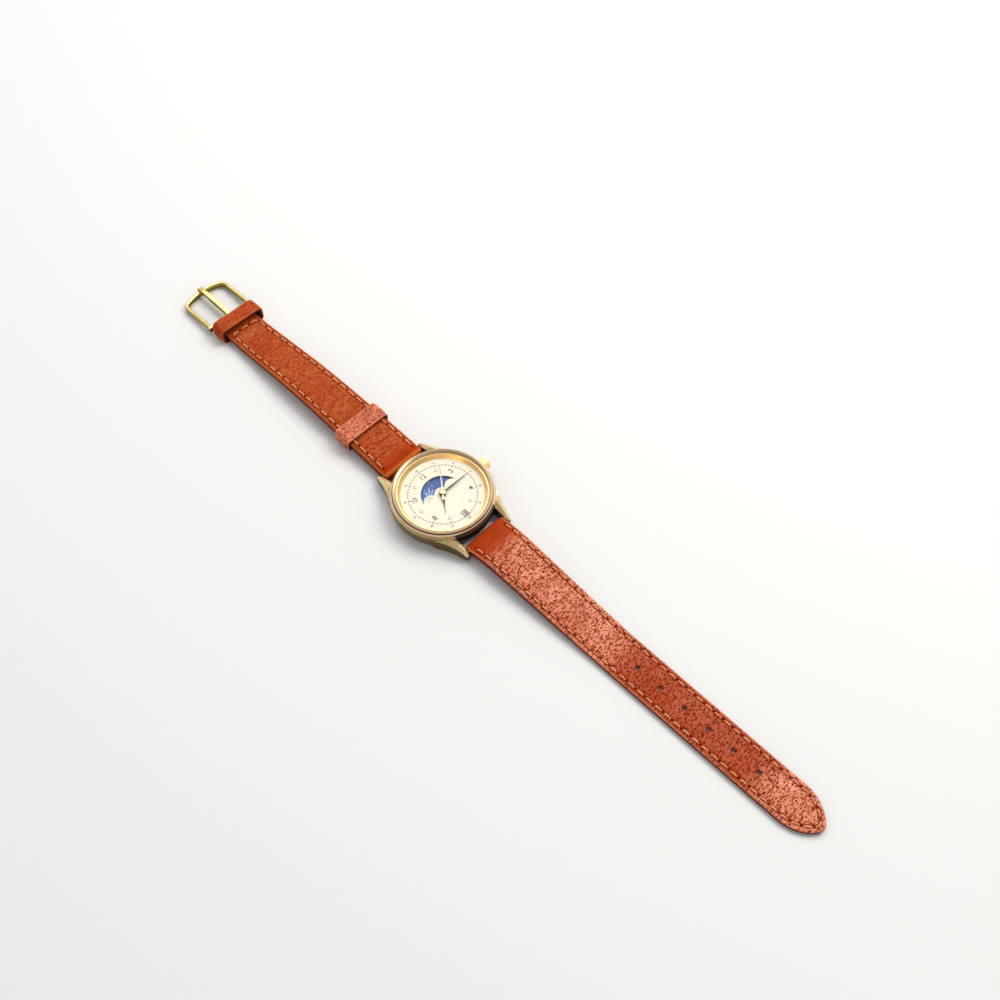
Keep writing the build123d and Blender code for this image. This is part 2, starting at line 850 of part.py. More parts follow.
with BuildPart() as centre_wheel:
    toothed(
        centre_teeth,
        centre_module,
        centre_level,
        centre_level + wheel_thickness,
        turn=third_heading,
        bore=seconds_pipe_bore,
    )
    ring(centre_pipe_radius, seconds_pipe_bore, centre_level + wheel_thickness, moon_disc_low)
write("centre_wheel", centre_wheel)

# Motor
coil_ends = ((-coil_left, -coil_place), (coil_right, -coil_place))
with BuildPart() as stator:
    for place in coil_ends:
        strut(rotor_place, place, stator_arm_width, plate_low - stator_thickness, plate_low)
    drum(stator_ring_radius, plate_low - stator_thickness, plate_low, rotor_place)
    drum(rotor_radius + rotor_gap, 0, plate_low + cut_overrun, rotor_place, Mode.SUBTRACT)
write("stator", stator)

with BuildPart() as coil:
    tab_top = plate_low - stator_thickness
    with Locations(((coil_right - coil_left) / 2, -coil_place, coil_axis)):
        Box(coil_left + coil_right + coil_tab, coil_core_width, coil_core_height)
    for place in coil_ends:
        with Locations((place[0], place[1], coil_axis)):
            Box(coil_tab, coil_core_width, tab_top - coil_axis, align=ON_BASE)
    with Locations(Location(((coil_right - coil_left) / 2, -coil_place, coil_axis), (0, 90, 0))):
        Cylinder(coil_radius, coil_left + coil_right - 2 * coil_tab)
write("coil", coil)

# Battery and the spring strip that holds it
with BuildPart() as battery:
    drum(battery_radius - battery_can_step, battery_low, battery_low + battery_cap_height, battery_centre)
    drum(battery_radius, battery_low + battery_cap_height, battery_low + battery_height, battery_centre)
write("battery", battery)

with BuildPart() as battery_clamp:
    strut(clamp_post, battery_centre, clamp_width, clamp_low, bridge_low)
    drum(screw_radius, 0, plate_low, clamp_post, Mode.SUBTRACT)
    drum(clamp_width / 2, bridge_low, battery_low, battery_centre)
write("battery_clamp", battery_clamp)

# Electronics
board_low = plate_low - board_thickness
with BuildPart() as circuit_board:
    with BuildSketch(Plane.XY.offset(board_low)) as board:
        with BuildLine():
            inner_arc = CenterArc((0, 0), board_inner, board_from, board_to - board_from)
            outer_arc = CenterArc((0, 0), board_outer, board_from, board_to - board_from)
            Line(inner_arc @ 0, outer_arc @ 0)
            Line(inner_arc @ 1, outer_arc @ 1)
        make_face()
    extrude(board.sketch, amount=board_thickness)
    chip = polar(chip_place, chip_heading)
    with Locations((chip[0], chip[1], board_low - chip_thickness)):
        Box(chip_size, chip_size, chip_thickness, rotation=(0, 0, chip_heading), align=ON_BASE)
write("circuit_board", circuit_board)

with BuildPart() as quartz_can:
    can = polar(quartz_place, quartz_heading)
    can_run = polar(1, quartz_heading + 90.0)
    with Locations(Plane((can[0], can[1], board_low - quartz_radius), z_dir=(can_run[0], can_run[1], 0))):
        Cylinder(quartz_radius, quartz_length)
    fillet(quartz_can.edges().filter_by(GeomType.CIRCLE), quartz_radius / 3)
write("quartz_can", quartz_can)

# Motion works
minute_run = degrees(atan2(minute_place[1], minute_place[0]))
setting_run = degrees(atan2(setting_place[1] - minute_place[1], setting_place[0] - minute_place[0]))
drive_run = degrees(atan2(drive_place[1] - day_place[1], drive_place[0] - day_place[0]))


def facing(teeth, run, own_turn, own_teeth):
    """The turn that puts a tooth gap of one wheel against a tooth of its neighbour."""
    phase = ((run - own_turn) * own_teeth / 360.0) % 1.0
    return run + 180.0 + (0.5 + phase) * 360.0 / teeth


minute_turn = facing(minute_wheel_teeth, minute_run, 0.0, cannon_teeth)
setting_turn = facing(setting_teeth, setting_run, minute_turn, minute_wheel_teeth)
hour_turn = facing(hour_wheel_teeth, minute_run + 180.0, 0.0, minute_pinion_teeth)
day_turn = facing(day_wheel_teeth, day_wheel_heading, hour_turn, hour_pinion_teeth)
drive_turn = facing(day_wheel_teeth, drive_run, day_turn, day_wheel_teeth)

with BuildPart() as cannon_pinion:
    ring(cannon_radius, cannon_bore, minute_level, minute_hand_level + hand_thickness + seat_gap)
    toothed(
        cannon_teeth, motion_module, minute_level, minute_level + minute_thickness, bore=cannon_bore
    )
write("cannon_pinion", cannon_pinion)

with BuildPart() as minute_wheel:
    toothed(
        minute_wheel_teeth,
        motion_module,
        minute_level,
        minute_level + minute_thickness,
        minute_place,
        turn=minute_turn,
        bore=stud_radius + running_gap,
    )
    toothed(
        minute_pinion_teeth,
        hour_module,
        minute_level + minute_thickness,
        hour_level + hour_thickness,
        minute_place,
        bore=stud_radius + running_gap,
    )
write("minute_wheel", minute_wheel)

with BuildPart() as setting_wheel:
    toothed(
        setting_teeth,
        motion_module,
        minute_level,
        minute_level + minute_thickness,
        setting_place,
        turn=setting_turn,
        bore=stud_radius + running_gap,
    )
write("setting_wheel", setting_wheel)

with BuildPart() as hour_wheel:
    toothed(
        hour_wheel_teeth,
        hour_module,
        hour_level,
        hour_level + hour_thickness,
        turn=hour_turn,
        bore=hour_bore,
    )
    toothed(
        hour_pinion_teeth,
        calendar_module,
        hour_level + hour_thickness,
        day_level + day_thickness,
        turn=hour_turn,
        bore=hour_bore,
    )
    ring(hour_pipe_radius, hour_bore, day_level + day_thickness, hour_hand_level + hand_thickness)
write("hour_wheel", hour_wheel)


def finger(place, reach, heading):
    """A driving finger on top of a wheel, standing out to its reach."""
    tip = polar(reach - finger_width / 2, heading)
    end = (place[0] + tip[0], place[1] + tip[1])
    strut(place, end, finger_width, finger_level, finger_level + finger_thickness)
    drum(stud_shoulder_radius, day_level + day_thickness, finger_level + finger_thickness, place)
    drum(stud_radius + running_gap, 0, finger_level + cut_overrun, place, Mode.SUBTRACT)


with BuildPart() as day_wheel:
    toothed(
        day_wheel_teeth, calendar_module, day_level, day_level + day_thickness, day_place, turn=day_turn
    )
    finger(day_place, day_finger_reach, finger_rest_heading)
write("day_wheel", day_wheel)

with BuildPart() as date_drive_wheel:
    toothed(
        day_wheel_teeth,
        calendar_module,
        day_level,
        day_level + day_thickness,
        drive_place,
        turn=drive_turn,
    )
    finger(drive_place, date_finger_reach, date_finger_rest_heading)
write("date_drive_wheel", date_drive_wheel)

# Date ring, its jumper and its guard
with BuildPart() as date_ring:
    date_ring_low = date_seat + seat_gap
    date_step = 360.0 / date_ring_teeth
    tooth_points = []
    for tooth in range(date_ring_teeth):
        tooth_points.append(polar(date_ring_tooth_tip, tooth * date_step))
        tooth_points.append(polar(date_ring_inner, (tooth + tooth_half_shares[1]) * date_step))
        tooth_points.append(polar(date_ring_inner, (tooth + 1 - tooth_half_shares[1]) * date_step))
    with BuildSketch(Plane.XY.offset(date_ring_low)):
        Circle(date_ring_radius)
        with BuildLine():
            Polyline(*tooth_points, close=True)
        make_face(mode=Mode.SUBTRACT)
    extrude(amount=date_ring_thickness)
write("date_ring", date_ring)


def jumper(foot, beak):
    """A flat spring from its foot to the beak that rests between two teeth."""
    strut(foot, beak, jumper_width, finger_level, finger_level + finger_thickness)
    drum(guard_post_radius, finger_level, finger_level + finger_thickness, foot)


with BuildPart() as date_jumper:
    jumper(jumper_feet[0], polar(date_ring_tooth_tip, date_jumper_rest * date_step))
write("date_jumper", date_jumper)

with BuildPart() as date_guard:
    ring(guard_outer, guard_inner, guard_level, guard_level + guard_thickness)
write("date_guard", date_guard)

# Moon disc on its star
with BuildPart() as moon_disc:
    star_step = 360.0 / moon_star_teeth
    star_points = []
    for tooth in range(moon_star_teeth):
        star_points.append(polar(moon_star_radius, tooth * star_step))
        star_points.append(polar(moon_star_root, (tooth + 1 / 2) * star_step))
    with BuildSketch(Plane.XY.offset(finger_level)) as star:
        with BuildLine():
            Polyline(*star_points, close=True)
        make_face()
    extrude(star.sketch, amount=finger_thickness)
    drum(moon_bore + moon_hub_wall, finger_level, moon_disc_low)
    drum(moon_disc_radius, moon_disc_low, moon_disc_low + moon_disc_thickness)
    drum(moon_bore, 0, dial_low, mode=Mode.SUBTRACT)
write("moon_disc", moon_disc)

with BuildPart() as moon_jumper:
    jumper(jumper_feet[1], polar(moon_star_radius + jumper_width / 4, moon_jumper_beak_heading))
write("moon_jumper", moon_jumper)

# Crown with its ridges, and the parts on its axis
crown_end = crown_start + crown_length
with BuildPart() as crown:
    with BuildSketch(Plane.YZ.offset(crown_start)) as crown_outline:
        with Locations((0, crown_axis)):
            Circle(crown_radius)
            with PolarLocations(crown_radius, crown_ridges):
                Circle(crown_ridge_depth, mode=Mode.SUBTRACT)
    extrude(crown_outline.sketch, amount=crown_length)
    cap_radius = (crown_radius**2 + crown_face_bulge**2) / (2 * crown_face_bulge)
    with Locations((crown_end - cap_radius, 0, crown_axis)):
        Sphere(cap_radius, mode=Mode.INTERSECT)
    bore_radius = tube_radius + crown_gasket_wall
    with Locations(Location((crown_start, 0, crown_axis), (0, 90, 0))):
        Cylinder(bore_radius, 2 * crown_bore_depth, mode=Mode.SUBTRACT)
        Cylinder(stem_radius, 2 * (crown_bore_depth + stem_screw_length / 2), mode=Mode.SUBTRACT)
write("crown", crown)

with BuildPart() as crown_gasket:
    gasket_start = crown_start + crown_gap
    with BuildSketch(Plane.YZ.offset(gasket_start)):
        with Locations((0, crown_axis)):
            Circle(bore_radius)
            Circle(tube_radius + seat_gap / 2, mode=Mode.SUBTRACT)
    extrude(amount=crown_gasket_length)
write("crown_gasket", crown_gasket)

with BuildPart() as crown_tube:
    with BuildSketch(Plane.YZ.offset(case_bore)):
        with Locations((0, crown_axis)):
            Circle(tube_radius)
            Circle(tube_bore, mode=Mode.SUBTRACT)
    extrude(amount=case_radius - case_bore + tube_stand_out)
write("crown_tube", crown_tube)

with BuildPart() as stem:
    stem_end = crown_start + crown_bore_depth + stem_screw_length / 2
    groove_start = stem_groove_place - stem_groove_length / 2
    groove_end = stem_groove_place + stem_groove_length / 2
    for radius, start, end in (
        (stem_radius, stem_inner_end, groove_start),
        (stem_groove_radius, groove_start, groove_end),
        (stem_radius, groove_end, stem_end),
    ):
        with Locations(Location((start, 0, crown_axis), (0, 90, 0))):
            Cylinder(radius, end - start, align=ON_BASE)
write("stem", stem)

with BuildPart() as sliding_pinion:
    clutch_end = clutch_start + clutch_length
    with Locations(Location((clutch_start, 0, crown_axis), (0, 90, 0))):
        Cylinder(clutch_radius, clutch_length, align=ON_BASE)
    with BuildSketch(Plane.YZ.offset(clutch_start)) as teeth_gaps:
        with Locations((0, crown_axis)):
            with PolarLocations(clutch_radius, clutch_teeth):
                Rectangle(clutch_radius / 2, clutch_tooth_depth)
    extrude(teeth_gaps.sketch, amount=clutch_tooth_depth, mode=Mode.SUBTRACT)
    with BuildSketch(Plane.YZ.offset(clutch_end - 2 * clutch_groove_length)) as collar:
        with Locations((0, crown_axis)):
            Circle(clutch_radius + clutch_tooth_depth)
            Circle(clutch_groove_radius, mode=Mode.SUBTRACT)
    extrude(collar.sketch, amount=clutch_groove_length, mode=Mode.SUBTRACT)
    with Locations(Location((clutch_start, 0, crown_axis), (0, 90, 0))):
        Cylinder(stem_radius + running_gap, 2 * clutch_length, mode=Mode.SUBTRACT)
write("sliding_pinion", sliding_pinion)

with BuildPart() as setting_lever:
    lever_tip = (stem_groove_place, 0)
    strut(lever_place, lever_tip, lever_width, lever_low, lever_low + lever_thickness)
    drum(lever_pin_radius, lever_low + lever_thickness, lever_pin_top, lever_tip)
    drum(lever_stud_radius, lever_low + lever_thickness, plate_low + pivot_depth, lever_place)
write("setting_lever", setting_lever)

# Spring bars between the lugs
bar_shoulder = strap_width / 2
for name, side in (("spring_bar_12", 1), ("spring_bar_6", -1)):
    with BuildPart() as spring_bar:
        with Locations(Location((0, side * bar_place, bar_height), (0, 90, 0))):
            Cylinder(bar_radius, 2 * bar_shoulder)
            Cylinder(bar_tip_radius, 2 * (lug_inner + bar_tip_length - side_gap))
    write(name, spring_bar)

def strap_heights(shares, reach, rise, thin):
    """Places along the strap with the heights of its underside and its top."""
    return [
        (bar_place + share * reach, lift * rise, lift * rise + thin + padding * (strap_padded - thin))
        for share, lift, padding in shares
    ]


def heights_at(stations, place):
    """Underside and top at a place between two stations."""
    for before, after in zip(stations, stations[1:]):
        if before[0] <= place <= after[0]:
            share = (place - before[0]) / (after[0] - before[0])
            return tuple(before[side] + share * (after[side] - before[side]) for side in (1, 2))
    return stations[-1][1:]


def slab(start, end):
    """Keep only what lies between two distances from the dial's centre."""
    middle = (abs(start) + abs(end)) / 2 * (1 if end > 0 else -1)
    with Locations((0, middle, 0)):
        Box(2 * strap_width, abs(end - start), 2 * strap_width, mode=Mode.INTERSECT)


def below(stations, end, side):
    """The space under the line where the lining meets the leather."""
    raised = [(side * place, under + lining_thickness) for place, under, top in stations]
    start = side * (bar_place + lining_start)
    with BuildPart() as space:
        with BuildSketch(Plane.YZ):
            with BuildLine():
                first = (start, raised[0][1] - lining_thickness / 2)
                line = Spline(first, *raised)
                Polyline(
                    line @ 1,
                    (side * end, raised[-1][1]),
                    (side * end, -strap_width),
                    (start, -strap_width),
                    first,
                )
            make_face()
        extrude(amount=strap_width, both=True)
    return space.part


# Long piece, 6 o'clock side, in three lengths that bend at the joints
long_stations = strap_heights(long_shares, long_reach, long_rise, long_thin)
with BuildPart() as long_whole:
    with BuildSketch(Plane.YZ):
        with BuildLine():
            over = Spline(
                (-bar_place, bar_height + strap_loop_radius),
                *[(-place, top) for place, under, top in long_stations],
            )
            beneath = Spline(
                (-bar_place, bar_height - strap_loop_radius),
                *[(-place, under) for place, under, top in long_stations],
            )
            Line(over @ 0, beneath @ 0)
            Polyline(over @ 1, (-tip_place, long_thin), (-tip_place, 0), beneath @ 1)
        make_face()
        with Locations((-bar_place, bar_height)):
            Circle(strap_loop_radius)
    extrude(amount=strap_width / 2, both=True)
    with BuildSketch(Plane.XY.offset(-strap_width)) as long_plan:
        with BuildLine():
            corner = (strap_width / 2, -(bar_place - strap_loop_radius))
            waist = (long_waist_width / 2, -long_waist_place)
            shoulder = (long_shoulder_width / 2, -long_shoulder_place)
            Polyline((0, corner[1]), corner, waist, shoulder)
            TangentArc(shoulder, (0, -tip_place), tangent=(0, -1))
            mirror(about=Plane.YZ)
        make_face()
        fillet(long_plan.vertices().sort_by(Axis.Y)[0], long_tip_rounding)
    extrude(long_plan.sketch, amount=2 * strap_width, mode=Mode.INTERSECT)
    with Locations([(0, -hole_first - hole * hole_pitch, 0) for hole in range(hole_count)]):
        Cylinder(hole_diameter / 2, 4 * long_thin, mode=Mode.SUBTRACT)
    with Locations(Location((0, -bar_place, bar_height), (0, 90, 0))):
        Cylinder(bar_radius + running_gap, 2 * strap_width, mode=Mode.SUBTRACT)

long_under = below(long_stations, tip_place + cut_overrun, -1)
long_cuts = (bar_place - strap_width / 2,) + long_joints + (tip_place + cut_overrun,)
for number, (start, end) in enumerate(zip(long_cuts, long_cuts[1:]), 1):
    with BuildPart() as long_top:
        add(long_whole.part)
        add(long_under, mode=Mode.SUBTRACT)
        slab(-start - segment_gap / 2, -end + segment_gap / 2)
    write(f"strap_long_top_{number}", long_top)
    with BuildPart() as long_lining:
        add(long_whole.part)
        add(long_under, mode=Mode.INTERSECT)
        slab(-start - segment_gap / 2, -end + segment_gap / 2)
    write(f"strap_long_lining_{number}", long_lining)

# Short piece, 12 o'clock side, in two lengths, looped round the buckle's pin
short_stations = strap_heights(short_shares, short_reach, short_rise, short_thin)
with BuildPart() as short_whole:
    with BuildSketch(Plane.YZ):
        with BuildLine():
            over = Spline(
                (bar_place, bar_height + strap_loop_radius),
                *[(place, top) for place, under, top in short_stations],
                (pin_place, pin_height + pin_loop_radius),
            )
            beneath = Spline(
                (bar_place, bar_height - strap_loop_radius),
                *[(place, under) for place, under, top in short_stations],
                (pin_place, pin_height - pin_loop_radius),
            )
            Line(over @ 0, beneath @ 0)
            Line(over @ 1, beneath @ 1)
        make_face()
        with Locations((bar_place, bar_height)):
            Circle(strap_loop_radius)
        with Locations((pin_place, pin_height)):
            Circle(pin_loop_radius)
    extrude(amount=strap_width / 2, both=True)
    with BuildSketch(Plane.XY.offset(-strap_width)) as short_plan:
        with BuildLine():
            Polyline(
                (0, bar_place - strap_loop_radius),
                (strap_width / 2, bar_place - strap_loop_radius),
                (short_waist_width / 2, short_waist_place),
                (short_waist_width / 2, pin_place + 2 * pin_loop_radius),
                (0, pin_place + 2 * pin_loop_radius),
            )
            mirror(about=Plane.YZ)
        make_face()
    extrude(short_plan.sketch, amount=2 * strap_width, mode=Mode.INTERSECT)
    with Locations(Location((0, bar_place, bar_height), (0, 90, 0))):
        Cylinder(bar_radius + running_gap, 2 * strap_width, mode=Mode.SUBTRACT)
    with Locations(Location((0, pin_place, pin_height), (0, 90, 0))):
        Cylinder(pin_radius + 2 * running_gap, 2 * strap_width, mode=Mode.SUBTRACT)
    with Locations((0, pin_place + 2 * pin_loop_radius, 0)):
        Box(
            tongue_slot_width,
            tongue_slot_length + 2 * pin_loop_radius,
            2 * strap_width,
            align=(Align.CENTER, Align.MAX, Align.CENTER),
            mode=Mode.SUBTRACT,
        )

short_under = below(short_stations, pin_place - tongue_slot_length, 1)
short_cuts = (bar_place - strap_width / 2, short_joint, pin_place + strap_width / 2)
for number, (start, end) in enumerate(zip(short_cuts, short_cuts[1:]), 1):
    with BuildPart() as short_top:
        add(short_whole.part)
        add(short_under, mode=Mode.SUBTRACT)
        slab(start + segment_gap / 2, end - segment_gap / 2)
    write(f"strap_short_top_{number}", short_top)
    with BuildPart() as short_lining:
        add(short_whole.part)
        add(short_under, mode=Mode.INTERSECT)
        slab(start + segment_gap / 2, end - segment_gap / 2)
    write(f"strap_short_lining_{number}", short_lining)

# Sliding keeper, square to the strap where it stands
low_at, high_at = heights_at(short_stations, sliding_keeper_place)
reach_low, reach_high = heights_at(short_stations, sliding_keeper_place + sliding_keeper_travel)
keeper_slope = ((reach_low + reach_high) - (low_at + high_at)) / 2 / sliding_keeper_travel
keeper_run = Vector(0, 1, keeper_slope).normalized()
keeper_bore_width = strap_width + running_gap
keeper_bore_height = high_at - low_at + 2 * sliding_keeper_gap
with BuildPart() as sliding_keeper:
    keeper_centre = Vector(0, sliding_keeper_place, (low_at + high_at) / 2)
    keeper_plane = Plane(
        keeper_centre - keeper_run * (sliding_keeper_length / 2), x_dir=(1, 0, 0), z_dir=keeper_run
    )
    with BuildSketch(keeper_plane):
        RectangleRounded(
            keeper_bore_width + 2 * sliding_keeper_wall,
            keeper_bore_height + 2 * sliding_keeper_wall,
            sliding_keeper_wall + keeper_rounding,
        )
        RectangleRounded(
            keeper_bore_width, keeper_bore_height, keeper_rounding, mode=Mode.SUBTRACT
        )
    extrude(amount=sliding_keeper_length)
write("sliding_keeper", sliding_keeper)

# Fixed keeper, which leaves room above the strap for the other piece
with BuildPart() as fixed_keeper:
    keeper_start = fixed_keeper_place - fixed_keeper_length / 2
    bore_low = pin_height - pin_loop_radius - side_gap
    bore_high = pin_height + pin_loop_radius + fixed_keeper_room
    with BuildSketch(Plane.XZ.offset(-keeper_start)):
        with Locations((0, (bore_low + bore_high + fixed_keeper_wall - fixed_keeper_band) / 2)):
            RectangleRounded(
                fixed_keeper_bore_width + 2 * fixed_keeper_wall,
                bore_high - bore_low + fixed_keeper_wall + fixed_keeper_band,
                fixed_keeper_wall + keeper_rounding,
            )
        with Locations((0, (bore_low + bore_high) / 2)):
            RectangleRounded(
                fixed_keeper_bore_width, bore_high - bore_low, keeper_rounding, mode=Mode.SUBTRACT
            )
    extrude(amount=-fixed_keeper_length)
write("fixed_keeper", fixed_keeper)

# Buckle frame, its pin and its tongue
buckle_end = pin_place + buckle_reach
buckle_bar_high = buckle_bar_low + buckle_rail_height
bar_middle = Vector(0, buckle_end - buckle_rail / 2, buckle_bar_low + buckle_rail_height / 2)
pin_middle = Vector(0, pin_place, pin_height)
buckle_slope = bar_middle - pin_middle
buckle_plane = Plane(pin_middle, x_dir=(1, 0, 0), z_dir=Vector(1, 0, 0).cross(buckle_slope))
buckle_run = buckle_slope.length
rail_place = (buckle_width - buckle_rail) / 2
with BuildPart() as buckle_frame:
    with BuildLine(buckle_plane) as buckle_path:
        Line((-rail_place, 0), (-rail_place, buckle_run - buckle_arch))
        ThreePointArc(
            (-rail_place, buckle_run - buckle_arch),
            (0, buckle_run),
            (rail_place, buckle_run - buckle_arch),
        )
        Line((rail_place, buckle_run - buckle_arch), (rail_place, 0))
        fillet(buckle_path.vertices().sort_by(Axis.Y)[2:4], buckle_corner)
    rail_start = Plane(buckle_path.wire() @ 0, x_dir=(1, 0, 0), z_dir=buckle_path.wire() % 0)
    with BuildSketch(rail_start):
        Ellipse(buckle_rail / 2, buckle_rail_height / 2)
    sweep(path=buckle_path.wire())
    for side in (1, -1):
        eye = Location((side * rail_place, pin_place, pin_height), (0, 90, 0))
        with Locations(eye):
            Cylinder(buckle_eye_radius, buckle_rail)
            Cylinder(pin_radius, 2 * buckle_rail, mode=Mode.SUBTRACT)
write("buckle_frame", buckle_frame)

with BuildPart() as buckle_pin:
    with Locations(Location((0, pin_place, pin_height), (0, 90, 0))):
        Cylinder(pin_radius, buckle_width)
write("buckle_pin", buckle_pin)

with BuildPart() as buckle_tongue:
    tongue_loop = pin_radius + running_gap + tongue_thickness / 2
    rest_height = buckle_bar_high + seat_gap
    bar_start = buckle_end - buckle_rail
    with BuildSketch(Plane.YZ) as tongue_side:
        with BuildLine():
            tongue_top = ThreePointArc(
                (pin_place, pin_height + tongue_loop),
                (pin_place + buckle_reach / 2, rest_height + tongue_thickness + tongue_rise),
                (buckle_end, rest_height + tongue_thickness * tooth_height_shares[2]),
            )
            Polyline(
                tongue_top @ 1,
                (buckle_end + tongue_overhang, buckle_bar_high - tongue_droop / 2),
                (buckle_end + tongue_overhang / 2, buckle_bar_high - tongue_droop),
                (buckle_end + side_gap, rest_height),
                (bar_start, rest_height),
                (pin_place, pin_height),
                (pin_place, pin_height + tongue_loop),
            )
        make_face()
        with Locations((pin_place, pin_height)):
            Circle(tongue_loop)
            Circle(pin_radius + running_gap, mode=Mode.SUBTRACT)
    extrude(amount=tongue_width / 2, both=True)
    rounds = buckle_tongue.edges().filter_by(GeomType.CIRCLE).sort_by(SortBy.RADIUS)[-2:]
    fillet(rounds, tongue_rounding)
    with BuildSketch():
        narrow_place = pin_place + buckle_reach / 2
        tongue_ends = (pin_place - 2 * tongue_loop, buckle_end + 2 * tongue_overhang)
        Polygon(
            (-tongue_width / 2, tongue_ends[0]),
            (tongue_width / 2, tongue_ends[0]),
            (tongue_width / 2, narrow_place),
            (tongue_tip_width / 2, bar_start),
            (tongue_tip_width / 2, tongue_ends[1]),
            (-tongue_tip_width / 2, tongue_ends[1]),
            (-tongue_tip_width / 2, bar_start),
            (-tongue_width / 2, narrow_place),
            align=None,
        )
    extrude(amount=buckle_reach, mode=Mode.INTERSECT)
write("buckle_tongue", buckle_tongue)
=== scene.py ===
"""Moon phase watch lying open on a pale floor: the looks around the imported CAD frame.

Lengths are in millimetres here and become metres when a mesh is made. x runs
towards the crown, y towards the buckle and z out of the dial.
"""

import json
from itertools import groupby
from math import ceil, cos, hypot, pi, radians, sin, sqrt

import bmesh
import bpy
import numpy as np
from mathutils import Matrix, Vector
from mathutils.bvhtree import BVHTree
from mathutils.geometry import delaunay_2d_cdt


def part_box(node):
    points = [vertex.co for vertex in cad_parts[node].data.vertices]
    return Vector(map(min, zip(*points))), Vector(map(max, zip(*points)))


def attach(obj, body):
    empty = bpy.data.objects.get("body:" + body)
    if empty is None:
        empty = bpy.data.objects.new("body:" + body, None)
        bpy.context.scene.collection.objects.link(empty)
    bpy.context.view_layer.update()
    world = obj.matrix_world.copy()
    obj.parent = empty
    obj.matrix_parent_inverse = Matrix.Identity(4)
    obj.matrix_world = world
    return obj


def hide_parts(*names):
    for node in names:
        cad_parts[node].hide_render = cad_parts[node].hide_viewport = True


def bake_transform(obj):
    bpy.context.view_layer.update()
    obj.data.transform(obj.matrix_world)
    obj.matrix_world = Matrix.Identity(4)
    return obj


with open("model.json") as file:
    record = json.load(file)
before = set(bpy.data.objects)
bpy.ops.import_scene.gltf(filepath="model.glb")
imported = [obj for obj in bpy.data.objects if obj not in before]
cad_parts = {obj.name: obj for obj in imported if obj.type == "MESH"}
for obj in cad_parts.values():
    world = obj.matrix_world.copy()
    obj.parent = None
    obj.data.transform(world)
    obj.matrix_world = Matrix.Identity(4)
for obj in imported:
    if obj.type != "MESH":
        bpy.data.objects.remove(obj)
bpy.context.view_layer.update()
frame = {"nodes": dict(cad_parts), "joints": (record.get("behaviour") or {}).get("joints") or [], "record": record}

MM = 0.001
SEED = 11
TINY = 1e-6
SAME = 1e-3
FAR = 9.0

# Camera, fitted to the photograph
CAMERA_HEADING = -0.823
CAMERA_HEIGHT = 1.014
CAMERA_ROLL = 0.031
CAMERA_DISTANCE = 287.85
CAMERA_TARGET = (11.914, -10.553, 0.0)
CAMERA_SENSOR = 36.0
CAMERA_LENS = 36.914

# Light: each lamp's name, heading, distance, size, radiance and colour
LAMPS = (
    ("key", (0.60, -0.16, 0.79), 800.0, 430.0, 6.5, (1.0, 0.97, 0.93)),
    ("sheen", (0.33, 0.47, 0.82), 900.0, 760.0, 2.3, (1.0, 0.98, 0.97)),
)
HORIZON = (0.80, 0.81, 0.82)
ZENITH = (0.25, 0.255, 0.27)
SKY_FADE = (0.36, 0.80)
PALE = (0.80, 0.795, 0.78)
PALE_SHADE = tuple(0.9 * c for c in PALE)
FLOOR_REACH = 3000.0

joint_list = {joint["name"]: joint for joint in frame["joints"]}


def low(node):
    """Lowest corner of a CAD node, in millimetres."""
    return Vector(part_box(node)[0]) / MM


def high(node):
    """Highest corner of a CAD node, in millimetres."""
    return Vector(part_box(node)[1]) / MM


def axis_place(joint):
    """Where a joint's axis lies, in millimetres."""
    return Vector(joint_list[joint]["pos_m"]) / MM


# Materials: colours, and stretches and radii in millimetres from the dial's axis

GOLD = (0.92, 0.70, 0.34)
GOLD_WORN = (0.72, 0.50, 0.20)
# Painted shade and painted reflection on steep gold sides
GOLD_SIDE_SHADE = (0.15, 0.095, 0.028)
GOLD_PLATED = 0.7
# Painted shade on the case wall and lug sides between the lugs: its colour, then the half width, reach and height
# of its box
LUG_GAP_SHADE_TONE = (0.03, 0.018, 0.012)
LUG_GAP_SHADE_BOX = (7.2, 9.5, 5.1)
# Bezel: its groove radii, the heading of its far side from the camera, the painted reflection over its near side's
# outer slopes and the painted shade in its grooves
BEZEL_GROOVES = (13.13, 13.87)
BEZEL_FAR_SIDE = (0.73, 0.68)
BEZEL_NEAR_REFLECTION = (0.50, 0.28, 0.16)
GROOVE_SHADE = (0.05, 0.016, 0.006)
LEATHER = (0.385, 0.036, 0.002)
LEATHER_DARK = (0.27, 0.024, 0.002)
# Painted sheen: the pale tone painted on the leather's high parts
LEATHER_SHEEN = (0.80, 0.275, 0.145)
# Painted shade along the stitch grooves
LEATHER_SEAM = (0.30, 0.040, 0.005)
# Painted shade in the pits
LEATHER_PIT = (0.085, 0.010, 0.005)
LEATHER_EDGE = (0.13, 0.014, 0.006)
LONG_GRAIN = (20.0, 27.0)
# Stretch of the long strap over which the painted sheen is weaker
LONG_SHEEN_DIMMED = (60.0, 70.0, 106.0, 116.0)
SHORT_GRAIN = (17.5, 22.0)
# Painted highlight across the short strap's bend by the lugs: its middle and half length
SHORT_CREST_HIGHLIGHT = (15.9, 1.1)
# Radii over which the pale hand paint goes to its painted shade
HAND_SHADED_FROM = (5.7, 6.3)
PLATE_BRUSH = (0.5, 6.0, 3.0)
materials = {}


